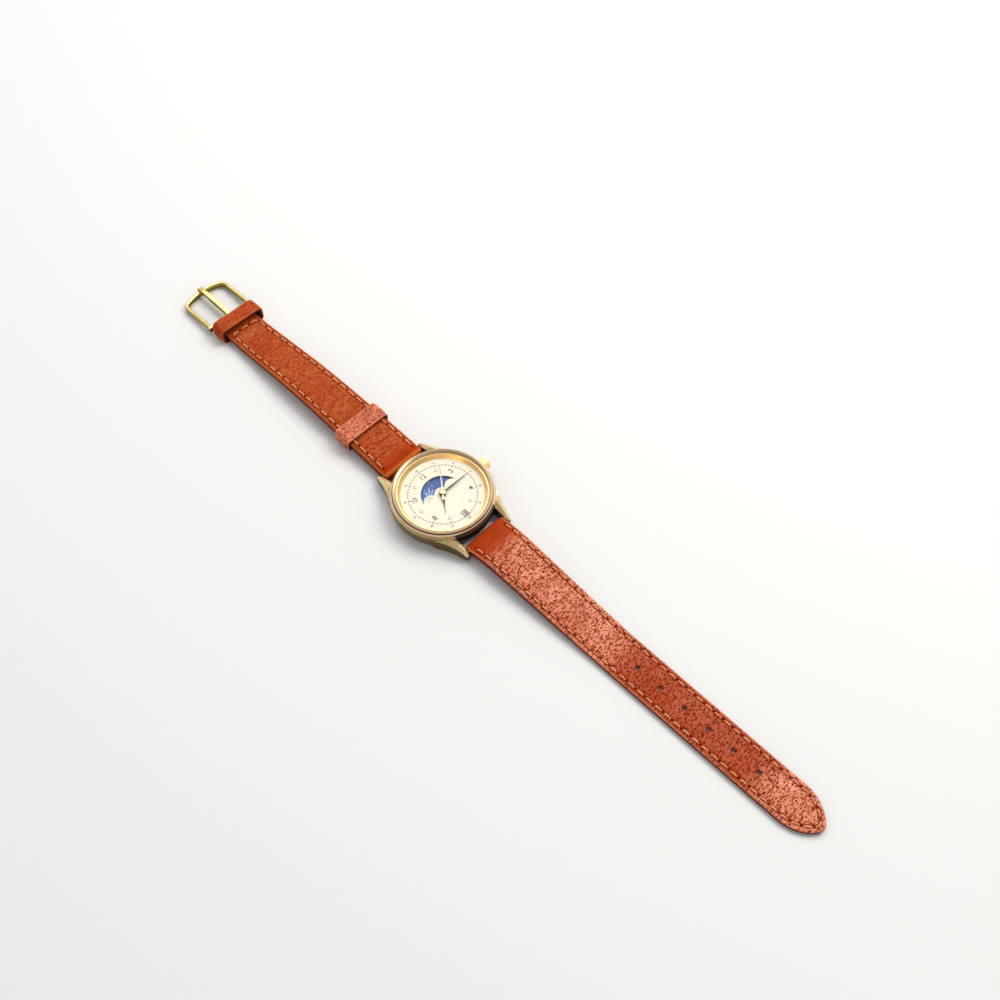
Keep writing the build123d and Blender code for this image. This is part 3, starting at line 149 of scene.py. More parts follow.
class Graph:
    """Builds the nodes of one material, or of the sky. Places are in millimetres."""

    def __init__(self, name, owner=None):
        self.name = name
        self.owner = owner or bpy.data.materials.new(name)
        self.owner.use_nodes = True
        self.tree = self.owner.node_tree
        self.tree.nodes.clear()

    def node(self, kind, inputs=None, **settings):
        made = self.tree.nodes.new("ShaderNode" + kind)
        for key, value in settings.items():
            setattr(made, key, value)
        for key, value in (inputs or {}).items():
            self.put(made.inputs[key], value)
        return made

    def put(self, socket, value):
        if isinstance(value, bpy.types.NodeSocket):
            self.tree.links.new(value, socket)
        else:
            socket.default_value = value

    def place(self):
        """The object's own coordinates, in millimetres."""
        return self.stretch(self.node("TexCoord").outputs["Object"], (1 / MM, 1 / MM, 1 / MM))

    def attribute(self, name, output="Fac"):
        return self.node("Attribute", attribute_name=name).outputs[output]

    def stretch(self, place, factors):
        return self.node("VectorMath", {0: place, 1: factors}, operation="MULTIPLY").outputs[0]

    def shift(self, place, amount):
        return self.node("VectorMath", {0: place, 1: amount}, operation="ADD").outputs[0]

    def parts(self, place):
        return self.node("SeparateXYZ", {0: place}).outputs

    def radius(self, place):
        """Distance from the dial's axis."""
        level = self.stretch(place, (1.0, 1.0, 0.0))
        return self.node("VectorMath", {0: level}, operation="LENGTH").outputs["Value"]

    def math(self, operation, a, b=0.0):
        return self.node("Math", {0: a, 1: b}, operation=operation).outputs[0]

    def times(self, first, *others):
        for other in others:
            first = self.math("MULTIPLY", first, other)
        return first

    def plus(self, a, b):
        return self.math("ADD", a, b)

    def less(self, a, b):
        return self.math("SUBTRACT", a, b)

    def greater(self, a, b):
        return self.math("MAXIMUM", a, b)

    def size(self, value, middle=0.0):
        """How far a value is from a middle one."""
        return self.math("ABSOLUTE", self.less(value, middle))

    def noise(self, place, scale, detail=3.0, roughness=0.5):
        inputs = {"Vector": place, "Scale": scale, "Detail": detail, "Roughness": roughness}
        return self.node("TexNoise", inputs).outputs[0]

    def cells(self, place, scale, feature="F1", randomness=1.0, flat=False):
        inputs = {"Vector": place, "Scale": scale, "Randomness": randomness}
        plan = "2D" if flat else "3D"
        made = self.node("TexVoronoi", inputs, feature=feature, voronoi_dimensions=plan)
        return made.outputs["Distance"]

    def remap(self, value, start, end, to_start=0.0, to_end=1.0):
        inputs = {0: value, 1: start, 2: end, 3: to_start, 4: to_end}
        return self.node("MapRange", inputs, interpolation_type="SMOOTHSTEP").outputs[0]

    def mix(self, first, *layers):
        """A colour under layers, each a share and a colour."""
        for share, colour in layers:
            made = self.node("Mix", data_type="RGBA")
            self.put(made.inputs[0], share)
            for socket, tone in ((made.inputs[6], first), (made.inputs[7], colour)):
                self.put(socket, (*tone, 1.0) if isinstance(tone, tuple) else tone)
            first = made.outputs[2]
        return first

    def bump(self, height, depth):
        """A bump whose height of 0 to 1 stands for a depth in millimetres."""
        inputs = {"Height": height, "Distance": depth * MM, "Strength": 1.0}
        return self.node("Bump", inputs).outputs[0]

    def surface(self, shader, kind="OutputMaterial"):
        """Ends the material, or the sky, with its shader."""
        self.node(kind, {"Surface": shader})
        materials[self.name] = self.owner

    def principled(self, tone, **inputs):
        """Principled shader: names use an underscore for each space."""
        plain = {key.replace("_", " "): value for key, value in inputs.items()}
        self.surface(self.node("BsdfPrincipled", {"Base Color": tone, **plain}).outputs[0])


def leather(name, pores, wrinkle, sheen_strength, smooth, sheen_dimmed=None, pale=LEATHER_SHEEN, crest_highlight=None):
    """Pored strap leather: pits, creases and mottling, with a painted pale sheen on its high parts.

    Over the smooth stretch, measured from the dial's centre, the grain and the painted sheen
    set in. Over the dimmed stretch, from where it sets in to where it ends, the high parts get
    less painted sheen. The crest, a middle and a half length, is a bend with a painted
    highlight straight across.
    """
    g = Graph(name)
    place = g.attribute("grain", "Vector")
    along = g.parts(place)[1]
    wander = g.node("TexNoise", {"Vector": place, "Scale": 1.1, "Detail": 2.0}).outputs[1]
    bent = g.shift(place, wander)
    away = g.remap(along, *smooth, 0.05, 1.0)

    # Pits in patches, and creases across the strap with a finer grit
    patch = g.remap(g.noise(place, 0.30, 2.0), 0.30, 0.50, 0.45, 1.0)
    spots = g.cells(g.stretch(place, (0.70, 0.98, 1.0)), 1.0, randomness=0.8, flat=True)
    pit = g.times(g.remap(spots, 0.13, 0.32, 1.0, 0.0), away, pores, patch)
    crease = g.remap(g.noise(g.stretch(bent, (0.85, 3.1, 0.8)), 1.25, 2.0), 0.34, 0.60)
    grit = g.noise(g.stretch(place, (2.2, 4.2, 2.0)), 1.0, 2.0)
    relief = g.plus(g.times(grit, 0.5), g.times(crease, wrinkle))
    high_part = g.remap(relief, 0.22, 0.25 + wrinkle * 0.9)
    low_part = g.times(g.less(1.0, high_part), away)
    relief = g.less(g.times(relief, away), g.times(pit, 0.9))

    # Cut edges are dark with their edge paint, with a painted highlight on the rounded shoulder inside them, and
    # seams lie in a hollow that is painted darker as shade
    burnish = g.attribute("edge")
    rim = g.remap(burnish, 0.80, 0.97)
    shoulder = g.less(g.remap(burnish, 0.35, 0.70), rim)
    seam = g.attribute("seam")
    beside_seam = g.remap(seam, 0.25, 0.60)

    # Painted sheen on the high parts, in soft zones
    zone = g.remap(g.noise(place, 0.11), 0.30, 0.62, 0.60, 1.0)
    if sheen_dimmed:
        dull = g.less(g.remap(along, *sheen_dimmed[:2]), g.remap(along, *sheen_dimmed[2:]))
        zone = g.times(zone, g.less(1.0, g.times(dull, 0.72)))
    sheen_mask = g.times(high_part, away, zone, sheen_strength, g.less(1.0, g.times(beside_seam, 0.7)))
    # painted highlight on the rounded shoulders inside the cut edges
    sheen_mask = g.greater(sheen_mask, g.times(shoulder, 0.75))
    # Painted highlight straight across the bend's crest
    if crest_highlight:
        middle, half = crest_highlight
        bend = g.remap(g.size(along, middle), half * 0.2, half, 0.8, 0.0)
        sheen_mask = g.greater(sheen_mask, bend)

    mottle = g.remap(g.noise(place, 0.16, 4.0, 0.6), 0.34, 0.68)
    tone = g.mix(
        LEATHER,
        (g.times(mottle, 0.5), LEATHER_DARK),
        # painted shade in the low parts of the relief
        (g.times(low_part, 0.62), LEATHER_DARK),
        # painted sheen on the high parts
        (sheen_mask, pale),
        # painted shade beside and along the stitch grooves
        (g.times(beside_seam, 0.35), LEATHER_SEAM),
        (g.times(g.remap(seam, 0.66, 0.92), 0.7), LEATHER_EDGE),
        # painted shade in the pits
        (g.times(pit, 0.75), LEATHER_PIT),
        (rim, LEATHER_EDGE),
    )
    shine = g.times(high_part, away, zone, 0.26, g.less(1.0, pit), sheen_strength)
    g.principled(
        tone,
        Roughness=0.55,
        Normal=g.bump(relief, 0.09),
        Specular_IOR_Level=0.02,
        Coat_Weight=g.greater(shine, g.times(burnish, 0.2)),
        Coat_Roughness=0.26,
        Coat_IOR=1.7,
    )


def lining(name):
    """Smooth nubuck lining with a faint nap."""
    g = Graph(name)
    place = g.attribute("grain", "Vector")
    nap = g.noise(place, 7.0, 5.0, 0.7)
    tone = g.mix(
        (0.47, 0.22, 0.105),
        (g.remap(g.noise(place, 0.25, 4.0), 0.3, 0.7), (0.36, 0.145, 0.06)),
        (g.times(nap, 0.3), (0.26, 0.10, 0.04)),
        (g.attribute("edge"), (0.16, 0.03, 0.008)),
    )
    rough = g.remap(nap, 0.3, 0.7, 0.7, 0.9)
    g.principled(
        tone, Roughness=rough, Normal=g.bump(nap, 0.05), Sheen_Weight=0.3, Sheen_Roughness=0.5
    )


def thread(name):
    """Waxed stitching thread with its fibres."""
    g = Graph(name)
    place = g.attribute("grain", "Vector")
    fibre = g.noise(g.stretch(place, (9.0, 1.6, 9.0)), 1.4, 3.0, 0.6)
    tone = g.mix(
        (0.92, 0.40, 0.17),
        (g.remap(g.noise(place, 0.5, 2.0), 0.35, 0.65), (0.80, 0.27, 0.09)),
        (g.times(fibre, 0.3), (0.50, 0.11, 0.03)),
    )
    g.principled(
        tone, Roughness=0.55, Normal=g.bump(fibre, 0.04), Sheen_Weight=0.25, Sheen_Roughness=0.4
    )


def metal(
    name, colour, worn, rough, scratch=1.0, brushed=(3.0, 3.0, 3.0), lathe=0.0, side_shade=None,
    shade_box=None, grooves=(), plated=1.0,
):
    """Polished, brushed or turned plate with smears, fine scratches and toned wear.

    Steep sides go towards the side-shade colour, a painted shade and painted reflection. The
    shade box of places, on both sides of the dial's axes, is painted dark as shade, and so are
    the grooves, given by their radii, on the side nearest the camera, whose outer slopes also
    get a painted copper reflection.
    """
    g = Graph(name)
    place = g.place()
    across, along, up = g.parts(place)
    smear = g.remap(g.noise(place, 0.35, 4.0, 0.6), 0.32, 0.7)
    fine = g.noise(g.stretch(place, brushed), 2.2, 5.0, 0.65)
    radius = g.radius(place)
    if lathe:
        lines = g.node("CombineXYZ", {0: radius, 1: up}).outputs[0]
        fine = g.noise(g.stretch(lines, (lathe, lathe, 1.0)), 1.0, 4.0, 0.7)
    hair = g.remap(g.noise(g.stretch(place, (0.4, 5.0, 2.0)), 3.0, 2.0), 0.46, 0.5)
    ding = g.remap(g.cells(place, 0.7), 0.02, 0.09, 1.0, 0.0)
    tone = g.mix(colour, (g.times(smear, 0.6), worn))
    # Painted shade and painted reflection: steep sides go towards the side-shade colour, level ones keep the
    # plate's tone
    if side_shade:
        upright = g.size(g.parts(g.node("TexCoord").outputs["Normal"])[2])
        tone = g.mix(side_shade, (g.remap(upright, 0.25, 0.80), tone))
    # Painted shade on the case wall between the lugs, where the strap ends shade it
    if shade_box:
        half_width, reach, height = shade_box
        middle = g.remap(g.size(across), half_width, half_width + 0.3, 1.0, 0.0)
        far = g.remap(g.size(along), reach, reach + 1.0)
        under = g.remap(up, height, height + 0.3, 1.0, 0.0)
        tone = g.mix(tone, (g.times(middle, far, under, 0.93), LUG_GAP_SHADE_TONE))
    # Painted reflection and painted shade, strongest on the side nearest the camera: a copper tone over the outer
    # slopes, and dark grooves
    if grooves:
        first = grooves[0]
        lean = g.plus(g.times(across, BEZEL_FAR_SIDE[0]), g.times(along, BEZEL_FAR_SIDE[1]))
        camera_side = g.remap(lean, -0.8 * first, 0.5 * first, 1.0, 0.25)
        outside = g.remap(radius, first - 0.2, first + 0.1)
        tone = g.mix(tone, (g.times(camera_side, outside, 0.55), BEZEL_NEAR_REFLECTION))
    for groove in grooves:
        depth = g.times(camera_side, g.remap(g.size(radius, groove), 0.05, 0.19, 0.9, 0.0))
        tone = g.mix(tone, (depth, GROOVE_SHADE))
    height = g.less(g.plus(g.times(fine, 0.7), g.times(hair, 0.18)), g.times(ding, 0.5))
    g.principled(
        tone,
        Metallic=plated,
        Roughness=g.remap(fine, 0.3, 0.75, rough * 0.75, rough * 1.45),
        Normal=g.bump(height, 0.0035 * scratch),
    )


def paint(name, colour, shade, rough, speck=0.004):
    """Enamel or printed paint with a faint cloud and fine texture."""
    g = Graph(name)
    place = g.place()
    cloud = g.remap(g.noise(place, 0.22), 0.3, 0.7)
    grit = g.noise(place, 14.0, 3.0, 0.6)
    tone = g.mix(colour, (g.times(cloud, 0.7), shade), (g.times(grit, 0.12), shade))
    spread = g.remap(grit, 0.3, 0.7, rough * 0.85, rough * 1.15)
    g.principled(tone, Roughness=spread, Normal=g.bump(grit, speck))


def worn_paint(name, colour, shade, tip_shade, stretch):
    """Paint going to a darker tone over a stretch of radii, and beyond it: a painted shade."""
    g = Graph(name)
    place = g.place()
    grit = g.noise(place, 12.0, 3.0, 0.6)
    shaded = g.remap(g.radius(place), *stretch)
    tone = g.mix(colour, (g.times(grit, 0.3), shade), (shaded, tip_shade))
    g.principled(tone, Roughness=g.remap(grit, 0.3, 0.7, 0.30, 0.42), Normal=g.bump(grit, 0.004))


def glass(name):
    """Clear mineral glass: sees through, with its reflections on top."""
    g = Graph(name)
    smudge = g.remap(g.noise(g.place(), 0.18, 4.0, 0.6), 0.35, 0.75, 0.015, 0.07)
    through = g.node("BsdfTransparent", {0: (0.985, 0.985, 0.97, 1.0)}).outputs[0]
    gloss = g.node("BsdfGlossy", {"Color": (1.0, 1.0, 1.0, 1.0), "Roughness": smudge}).outputs[0]
    slant = g.node("LayerWeight", {"Blend": 0.5}).outputs["Facing"]
    share = g.plus(g.times(g.math("POWER", slant, 5.0), 0.5), 0.006)
    g.surface(g.node("MixShader", {0: share, 1: through, 2: gloss}).outputs[0])


def coil_wire(name):
    """Enamelled copper wire wound across the coil."""
    g = Graph(name)
    inputs = {"Vector": g.place(), "Scale": 4.0, "Distortion": 0.3}
    turn = g.node("TexWave", inputs, bands_direction="X").outputs[1]
    tone = g.mix((0.32, 0.10, 0.035), (turn, (0.80, 0.36, 0.16)))
    g.principled(tone, Metallic=1.0, Roughness=0.32, Normal=g.bump(turn, 0.03))


def circuit(name):
    """Green board with faint tracks under its lacquer."""
    g = Graph(name)
    place = g.place()
    track = g.remap(g.cells(g.stretch(place, (1.0, 1.0, 0.1)), 1.1, "DISTANCE_TO_EDGE"), 0.05, 0.09)
    tone = g.mix(
        (0.10, 0.30, 0.13),
        (track, (0.03, 0.15, 0.06)),
        (g.times(g.noise(place, 9.0), 0.2), (0.02, 0.09, 0.04)),
    )
    g.principled(tone, Roughness=0.38, Normal=g.bump(track, 0.02), Coat_Weight=0.4)


# Leathers: the fourth figure scales the painted sheen and the coat's shine
leather("strap_leather", 1.0, 0.65, 1.0, LONG_GRAIN, LONG_SHEEN_DIMMED)
leather("short_leather", 0.40, 0.85, 0.50, SHORT_GRAIN, None, (0.66, 0.165, 0.03), SHORT_CREST_HIGHLIGHT)
leather("keeper_leather", 0.45, 0.50, 0.85, SHORT_GRAIN)
leather("end_keeper_leather", 0.15, 0.40, 0.45, SHORT_GRAIN, None, (0.58, 0.13, 0.025))
lining("strap_lining")
thread("strap_thread")
# Case gold: painted shade and reflection on steep sides, and painted shade between the lugs
metal("case_gold", GOLD, GOLD_WORN, 0.15, side_shade=GOLD_SIDE_SHADE, shade_box=LUG_GAP_SHADE_BOX, plated=GOLD_PLATED)
# Bezel gold: painted shade in its grooves and a painted copper reflection on its near side
metal(
    "bezel_gold", (1.0, 0.80, 0.58), (0.94, 0.68, 0.43), 0.22, 0.6, grooves=BEZEL_GROOVES, plated=0.72
)
# Buckle gold: painted shade and reflection on its steep sides
metal("buckle_gold", (0.88, 0.69, 0.26), (0.64, 0.48, 0.13), 0.17, 1.4, side_shade=(0.18, 0.14, 0.025))
metal("hand_gold", (0.88, 0.70, 0.38), (0.80, 0.60, 0.30), 0.20, 0.5)
metal("ring_gold", (0.86, 0.60, 0.27), (0.78, 0.50, 0.20), 0.24, lathe=9.0)
metal("case_back_steel", (0.63, 0.62, 0.59), (0.50, 0.49, 0.47), 0.28, 2.0, (0.6, 7.0, 2.0))
metal("battery_steel", (0.74, 0.74, 0.73), (0.62, 0.62, 0.62), 0.18, 1.2, (5.0, 0.8, 2.0))
metal("movement_brass", (0.80, 0.63, 0.34), (0.70, 0.52, 0.26), 0.26, 1.6, PLATE_BRUSH)
metal("movement_steel", (0.64, 0.64, 0.65), (0.54, 0.54, 0.55), 0.25, 1.4, PLATE_BRUSH)
paint("dial_cream", (0.91, 0.86, 0.74), (0.87, 0.80, 0.66), 0.42)
paint("dial_print", (0.055, 0.05, 0.055), (0.10, 0.09, 0.095), 0.5)
paint("frame_print", (0.42, 0.36, 0.29), (0.34, 0.29, 0.22), 0.5)
paint("moon_blue", (0.045, 0.115, 0.40), (0.028, 0.07, 0.30), 0.5, 0.006)
paint("moon_pale", (0.60, 0.68, 0.90), (0.44, 0.54, 0.82), 0.5)
paint("date_white", (0.90, 0.88, 0.82), (0.84, 0.82, 0.74), 0.5)
paint("hand_dark", (0.045, 0.035, 0.03), (0.08, 0.06, 0.05), 0.35)
paint("crystal_seal", (0.62, 0.47, 0.26), (0.50, 0.37, 0.19), 0.45)
paint("movement_plastic", (0.74, 0.74, 0.71), (0.66, 0.66, 0.62), 0.55, 0.02)
paint("rubber_black", (0.022, 0.022, 0.024), (0.04, 0.04, 0.04), 0.65, 0.02)
# Pale hand paint, with painted shade on its outer part
worn_paint("hand_pale", (0.94, 0.92, 0.87), (0.84, 0.80, 0.70), (0.34, 0.29, 0.22), HAND_SHADED_FROM)
glass("crystal")
coil_wire("coil_copper")
circuit("board_green")

# Pieces whose look differs from their slot's common one
LOOKS = {
    "crystal_gasket": "crystal_seal",
    "dial_ring": "ring_gold",
    "sliding_keeper_leather": "keeper_leather",
    "fixed_keeper_leather": "end_keeper_leather",
    "strap_short_upper": "short_leather",
    "moon_rays": "moon_pale",
    "moon_clouds": "moon_pale",
    "dial_date_frame": "frame_print",
}
for subpart in frame["record"]["subparts"]:
    look = LOOKS.get(subpart["node"], subpart["material_slot"])
    for own_slot in frame["nodes"][subpart["node"]].material_slots:
        own_slot.material = materials[look]


# Mesh helpers


def link(name, data):
    """A new object in the scene."""
    made = bpy.data.objects.new(name, data)
    bpy.context.collection.objects.link(made)
    return made


def build(name, points, faces, slot, sharp=40.0, **attributes):
    """One mesh object from points in millimetres, with its finish and shading."""
    mesh = bpy.data.meshes.new(name)
    mesh.from_pydata((np.asarray(points, float) * MM).tolist(), [], [list(f) for f in faces])
    for key, values in attributes.items():
        kind, field = ("FLOAT_VECTOR", "vector") if np.ndim(values) == 2 else ("FLOAT", "value")
        layer = mesh.attributes.new(key, kind, "POINT")
        layer.data.foreach_set(field, np.asarray(values, np.float32).ravel())
    work = bmesh.new()
    work.from_mesh(mesh)
    bmesh.ops.recalc_face_normals(work, faces=work.faces)
    work.to_mesh(mesh)
    work.free()
    mesh.shade_smooth()
    mesh.set_sharp_from_angle(angle=radians(sharp))
    mesh.materials.append(materials[LOOKS.get(name, slot)])
    made = link(name, mesh)
    return made


class Pile:
    """Gathers the points and faces of several closed forms into one mesh."""

    def __init__(self):
        self.points = []
        self.faces = []

    def add(self, points, faces):
        start = len(self.points)
        self.points.extend(tuple(p) for p in points)
        self.faces.extend([start + i for i in face] for face in faces)

    def build(self, name, slot, sharp=40.0):
        return build(name, self.points, self.faces, slot, sharp)


def skin(rows, closed=False):
    """Points and faces over closed rows of as many points: end to end, or capped."""
    count, width = len(rows), len(rows[0])
    points = [tuple(point) for row in rows for point in row]
    faces = []
    for i in range(count if closed else count - 1):
        start, following = i * width, (i + 1) % count * width
        for k in range(width):
            m = (k + 1) % width
            faces.append([start + k, start + m, following + m, following + k])
    if not closed:
        faces += [list(range(width))[::-1], list(range(len(points) - width, len(points)))]
    return points, faces


def prism(outline, bottom, top):
    """Points and faces of a flat plate over an outline in plan."""
    return skin([[(x, y, z) for x, y in outline] for z in (bottom, top)])


def band(outer, inner, bottom, top):
    """Points and faces of a plate between two closed outlines of as many points."""
    levels = ((outer, bottom), (outer, top), (inner, top), (inner, bottom))
    return skin([[(x, y, z) for x, y in line] for line, z in levels], closed=True)


def hoop(inner, outer, bottom, top, centre=(0, 0), start=0.0, end=2 * pi, steps=96, bevel=0.0):
    """Points and faces of a flat ring, or of a part of one."""
    section = [
        (inner, bottom), (outer, bottom), (outer, top - bevel), (outer - bevel, top),
        (inner + bevel, top), (inner, top - bevel),
    ]
    closed = abs(end - start - 2 * pi) < TINY
    angles = np.linspace(start, end, steps + 1)[: steps if closed else None]
    rows = [
        [(centre[0] + r * cos(a), centre[1] + r * sin(a), z) for r, z in section] for a in angles
    ]
    return skin(rows, closed)


def turned(points, angle):
    """Points turned about the dial's axis."""
    c, s = cos(angle), sin(angle)
    return [(x * c - y * s, x * s + y * c, z) for x, y, z in points]


def arc(centre, radius, start, end, steps):
    """Plan points along an arc, from its start angle to its end angle."""
    angles = np.linspace(start, end, steps + 1)
    return [(centre[0] + radius * cos(a), centre[1] + radius * sin(a)) for a in angles]


def round_outline(centre, radii):
    """A closed outline from radii spread evenly round a centre."""
    angles = np.linspace(0, 2 * pi, len(radii) + 1)
    return [(centre[0] + r * cos(a), centre[1] + r * sin(a)) for r, a in zip(radii, angles)]


def lettering(text, height, thickness, width_share=1.0, weight=0.012):
    """Points and faces of digits about the origin, lying in plan."""
    curve = bpy.data.curves.new("digits", "FONT")
    curve.body = text
    curve.align_x = curve.align_y = "CENTER"
    curve.size = 1.0
    curve.extrude = 0.5
    curve.offset = weight
    curve.resolution_u = 4
    carrier = link("digits", curve)
    mesh = bpy.data.meshes.new_from_object(
        carrier.evaluated_get(bpy.context.evaluated_depsgraph_get())
    )
    points = np.array([v.co for v in mesh.vertices])
    faces = [list(p.vertices) for p in mesh.polygons]
    bpy.data.objects.remove(carrier)
    bpy.data.meshes.remove(mesh)
    bpy.data.curves.remove(curve)
    lowest, highest = points.min(0), points.max(0)
    scale = height / (highest[1] - lowest[1])
    return (points - (lowest + highest) / 2) * (scale * width_share, scale, thickness), faces


# Strap


LUG_LOOP = 1.6
PIN_LOOP = 1.2
SAMPLE_SIDE = 3.3
SAMPLE_STEP = 0.5
SAMPLE_REACH = 50.0
SEAM_STEP = 0.05


def gaps(points, line):
    """Distance of each point from the nearest piece of a line of points."""
    points, line = np.asarray(points, float), np.asarray(line, float)
    best = np.full(len(points), 1e9)
    for start, end in zip(line, line[1:]):
        run = end - start
        share = np.clip(((points - start) @ run) / max(run @ run, 1e-12), 0, 1)
        away = points - start - share[:, None] * run
        best = np.minimum(best, np.hypot(away[:, 0], away[:, 1]))
    return best


def inside(points, ring):
    """Whether each point lies inside a closed ring."""
    points, ring = np.asarray(points, float), np.asarray(ring, float)
    held = np.zeros(len(points), bool)
    for (x0, y0), (x1, y1) in zip(ring, np.roll(ring, -1, axis=0)):
        if y0 == y1:
            continue
        across = (y0 > points[:, 1]) != (y1 > points[:, 1])
        held ^= across & (points[:, 0] < (x1 - x0) * (points[:, 1] - y0) / (y1 - y0) + x0)
    return held


def evenly(line, step):
    """The line again, with points about a step apart, and its length."""
    line = np.asarray(line, float)
    lengths = np.hypot(*np.diff(line, axis=0).T)
    reach = np.concatenate([[0], np.cumsum(lengths)])
    count = max(1, ceil(reach[-1] / step))
    wanted = np.linspace(0, reach[-1], count + 1)
    return np.column_stack([np.interp(wanted, reach, line[:, k]) for k in (0, 1)]), reach[-1]


def walk(path, shares):
    """Points at shares of a path's length."""
    line, _ = evenly(path, SEAM_STEP)
    reach = np.linspace(0, 1, len(line))
    return np.column_stack([np.interp(shares, reach, line[:, k]) for k in (0, 1)])


def inset(line, amount):
    """A line beside another, to its left."""
    line = np.asarray(line, float)
    run = np.gradient(line, axis=0)
    run /= np.maximum(np.hypot(run[:, 0], run[:, 1]), 1e-9)[:, None]
    return line + amount * np.column_stack([-run[:, 1], run[:, 0]])


class Strap:
    """One strap piece. Its plan is drawn in (x, t), where t runs along the leather.

    Between the bar and the far end t is the distance from the dial's centre. At the
    lugs, and at the buckle's pin, t goes on round the loop and back along the underside.
    """

    def __init__(self, side, widths, tops, linings, bar, end, pin=None):
        self.side, self.widths, self.end = side, widths, end
        self.bar = abs(bar.y)
        self.ends = [(-1, self.bar, bar.z, LUG_LOOP)]
        if pin:
            self.ends.append((1, pin.y, pin.z, PIN_LOOP))
        self.lining_start = min(abs(low(linings[0]).y), abs(high(linings[0]).y))
        self.sample(tops, linings)

    def sample(self, tops, linings):
        """Heights of the leather's top, of the lining's top and of the underside."""
        trees = []
        for names in (tops, linings):
            work = bmesh.new()
            for name in names:
                work.from_mesh(frame["nodes"][name].data)
            trees.append(BVHTree.FromBMesh(work))
            work.free()
        self.places = np.arange(self.bar + 0.1, self.end, SAMPLE_STEP)
        up = Vector((0, 0, 1))
        rows = []
        for place in self.places:
            spot = Vector((SAMPLE_SIDE, self.side * place, 0)) * MM
            row = [
                trees[0].ray_cast(spot + up * SAMPLE_REACH * MM, -up)[0],
                trees[0].ray_cast(spot - up * SAMPLE_REACH * MM, up)[0],
                trees[1].ray_cast(spot - up * SAMPLE_REACH * MM, up)[0],
            ]
            rows.append([hit.z / MM if hit else np.nan for hit in row])
        rows = np.array(rows)
        tip_shade = np.isnan(rows[:, 2]) | (self.places < self.lining_start + 0.3)
        rows[tip_shade, 2] = rows[tip_shade, 1]
        whole = ~np.isnan(rows).any(axis=1)
        self.heights = [np.interp(self.places, self.places[whole], rows[whole, k]) for k in range(3)]

    def level(self, which, place):
        """Height of the top (0), of the split (1) or of the underside (2)."""
        return np.interp(place, self.places, self.heights[which])

    def along(self, t):
        """Distance from the dial's centre, height and outward direction at t."""
        t = np.asarray(t, float)
        place, height = t.copy(), self.level(0, t)
        out_y, out_z = np.zeros_like(t), np.ones_like(t)
        for turn, centre, middle, radius in self.ends:
            past = (t - centre) * turn
            bend = (past > 0) & (past < pi * radius)
            angle = np.clip(past, 0, pi * radius) / radius
            place = np.where(bend, centre + turn * radius * np.sin(angle), place)
            height = np.where(bend, middle + radius * np.cos(angle), height)
            out_y = np.where(bend, turn * np.sin(angle), out_y)
            out_z = np.where(bend, np.cos(angle), out_z)
            under = past >= pi * radius
            back = centre - turn * (past - pi * radius)
            place = np.where(under, back, place)
            height = np.where(under, self.level(2, back), height)
            out_y = np.where(under, 0.0, out_y)
            out_z = np.where(under, -1.0, out_z)
        return place, height, out_y, out_z

    def half_width(self, place):
        """Half the strap's width at a distance from the dial's centre."""
        return np.interp(place, *zip(*self.widths))

    def spots(self, x, t, rise):
        """Places in space for plan places, raised out of the leather."""
        place, height, out_y, out_z = self.along(t)
        y = self.side * (place + rise * out_y)
        return np.column_stack([x, y, height + rise * out_z])


def triangulate(rings, lines, loose, keep):
    """Triangles over a plan. rings are closed, lines open, and keep picks by middle."""
    points, edges, starts = [], [], []
    for number, line in enumerate([*rings, *lines]):
        start = len(points)
        starts.append(start)
        points += list(line)
        edges += [(k, k + 1) for k in range(start, len(points) - 1)]
        if number < len(rings):
            edges.append((len(points) - 1, start))
    points += list(loose)
    result = delaunay_2d_cdt([Vector(p) for p in points], edges, [], 0, MERGE)
    plan, faces = np.array(result[0]), np.array(result[2])
    faces = faces[keep(plan[faces].mean(axis=1))]
    found = {source: made for made, sources in enumerate(result[3]) for source in sources}
    return plan, faces, found, starts


LONG_WIDTHS = ((15.3, 7.0), (62.04, 6.1), (119.0, 5.85))
LONG_TIP = 128.9
LONG_TIP_ROUND = 2.6
SHORT_WIDTHS = ((15.3, 7.0), (87.0, 6.05))
SLOT_HALF = 1.15
SLOT_STEPS = 24
HOLE_RADIUS = 0.75
HOLE_FIRST = 71.0
HOLE_PITCH = 7.63
HOLE_COUNT = 6
EDGE_ROUND = 0.42
EDGE_RINGS = (0.07, 0.17, 0.30, 0.46, 0.75)
CROWN_LEAST = 0.14
CROWN_PADDED = 0.50
CROWN_REACH = 4.6
WAVE_HEIGHT = 0.10
WAVE_START = 1.5
WAVES = 14
GROOVE_WIDTH = 0.24
GROOVE_DEPTH = 0.20
GROOVE_RINGS = (-0.42, -0.21, 0.0, 0.21, 0.42)
PIT_RADIUS = 0.2
PIT_DEPTH = 0.4
GRID_STEP = 0.5
GRID_JITTER = 0.1
EDGE_CLEAR = 0.25
RING_CLEAR = 0.2
MERGE = 1e-5
HOLE_RINGS = (0.0, 0.10, 0.24, 0.5)
HOLE_STEPS = 28
HOLE_WALL = 0.98
UNDER_GRAIN = -1.2
LINING_INSET = 0.15
LINING_SUNK = 0.01
LINING_LEAST = 0.05
LINING_ROUND = 0.16
STITCH_SHARE = 0.75
STITCH_SUNK = 0.38
EDGE_SHADE = 0.8
SEAM_SHADE = 0.9
THREAD_RADIUS = 0.18
THREAD_TWIST = 0.095
THREAD_TURNS = 1.5
THREAD_SIDES = 6
STITCH_STEPS = 11
STITCH_END = -0.42
STITCH_RISE = 0.51
STITCH_DROP = 0.02


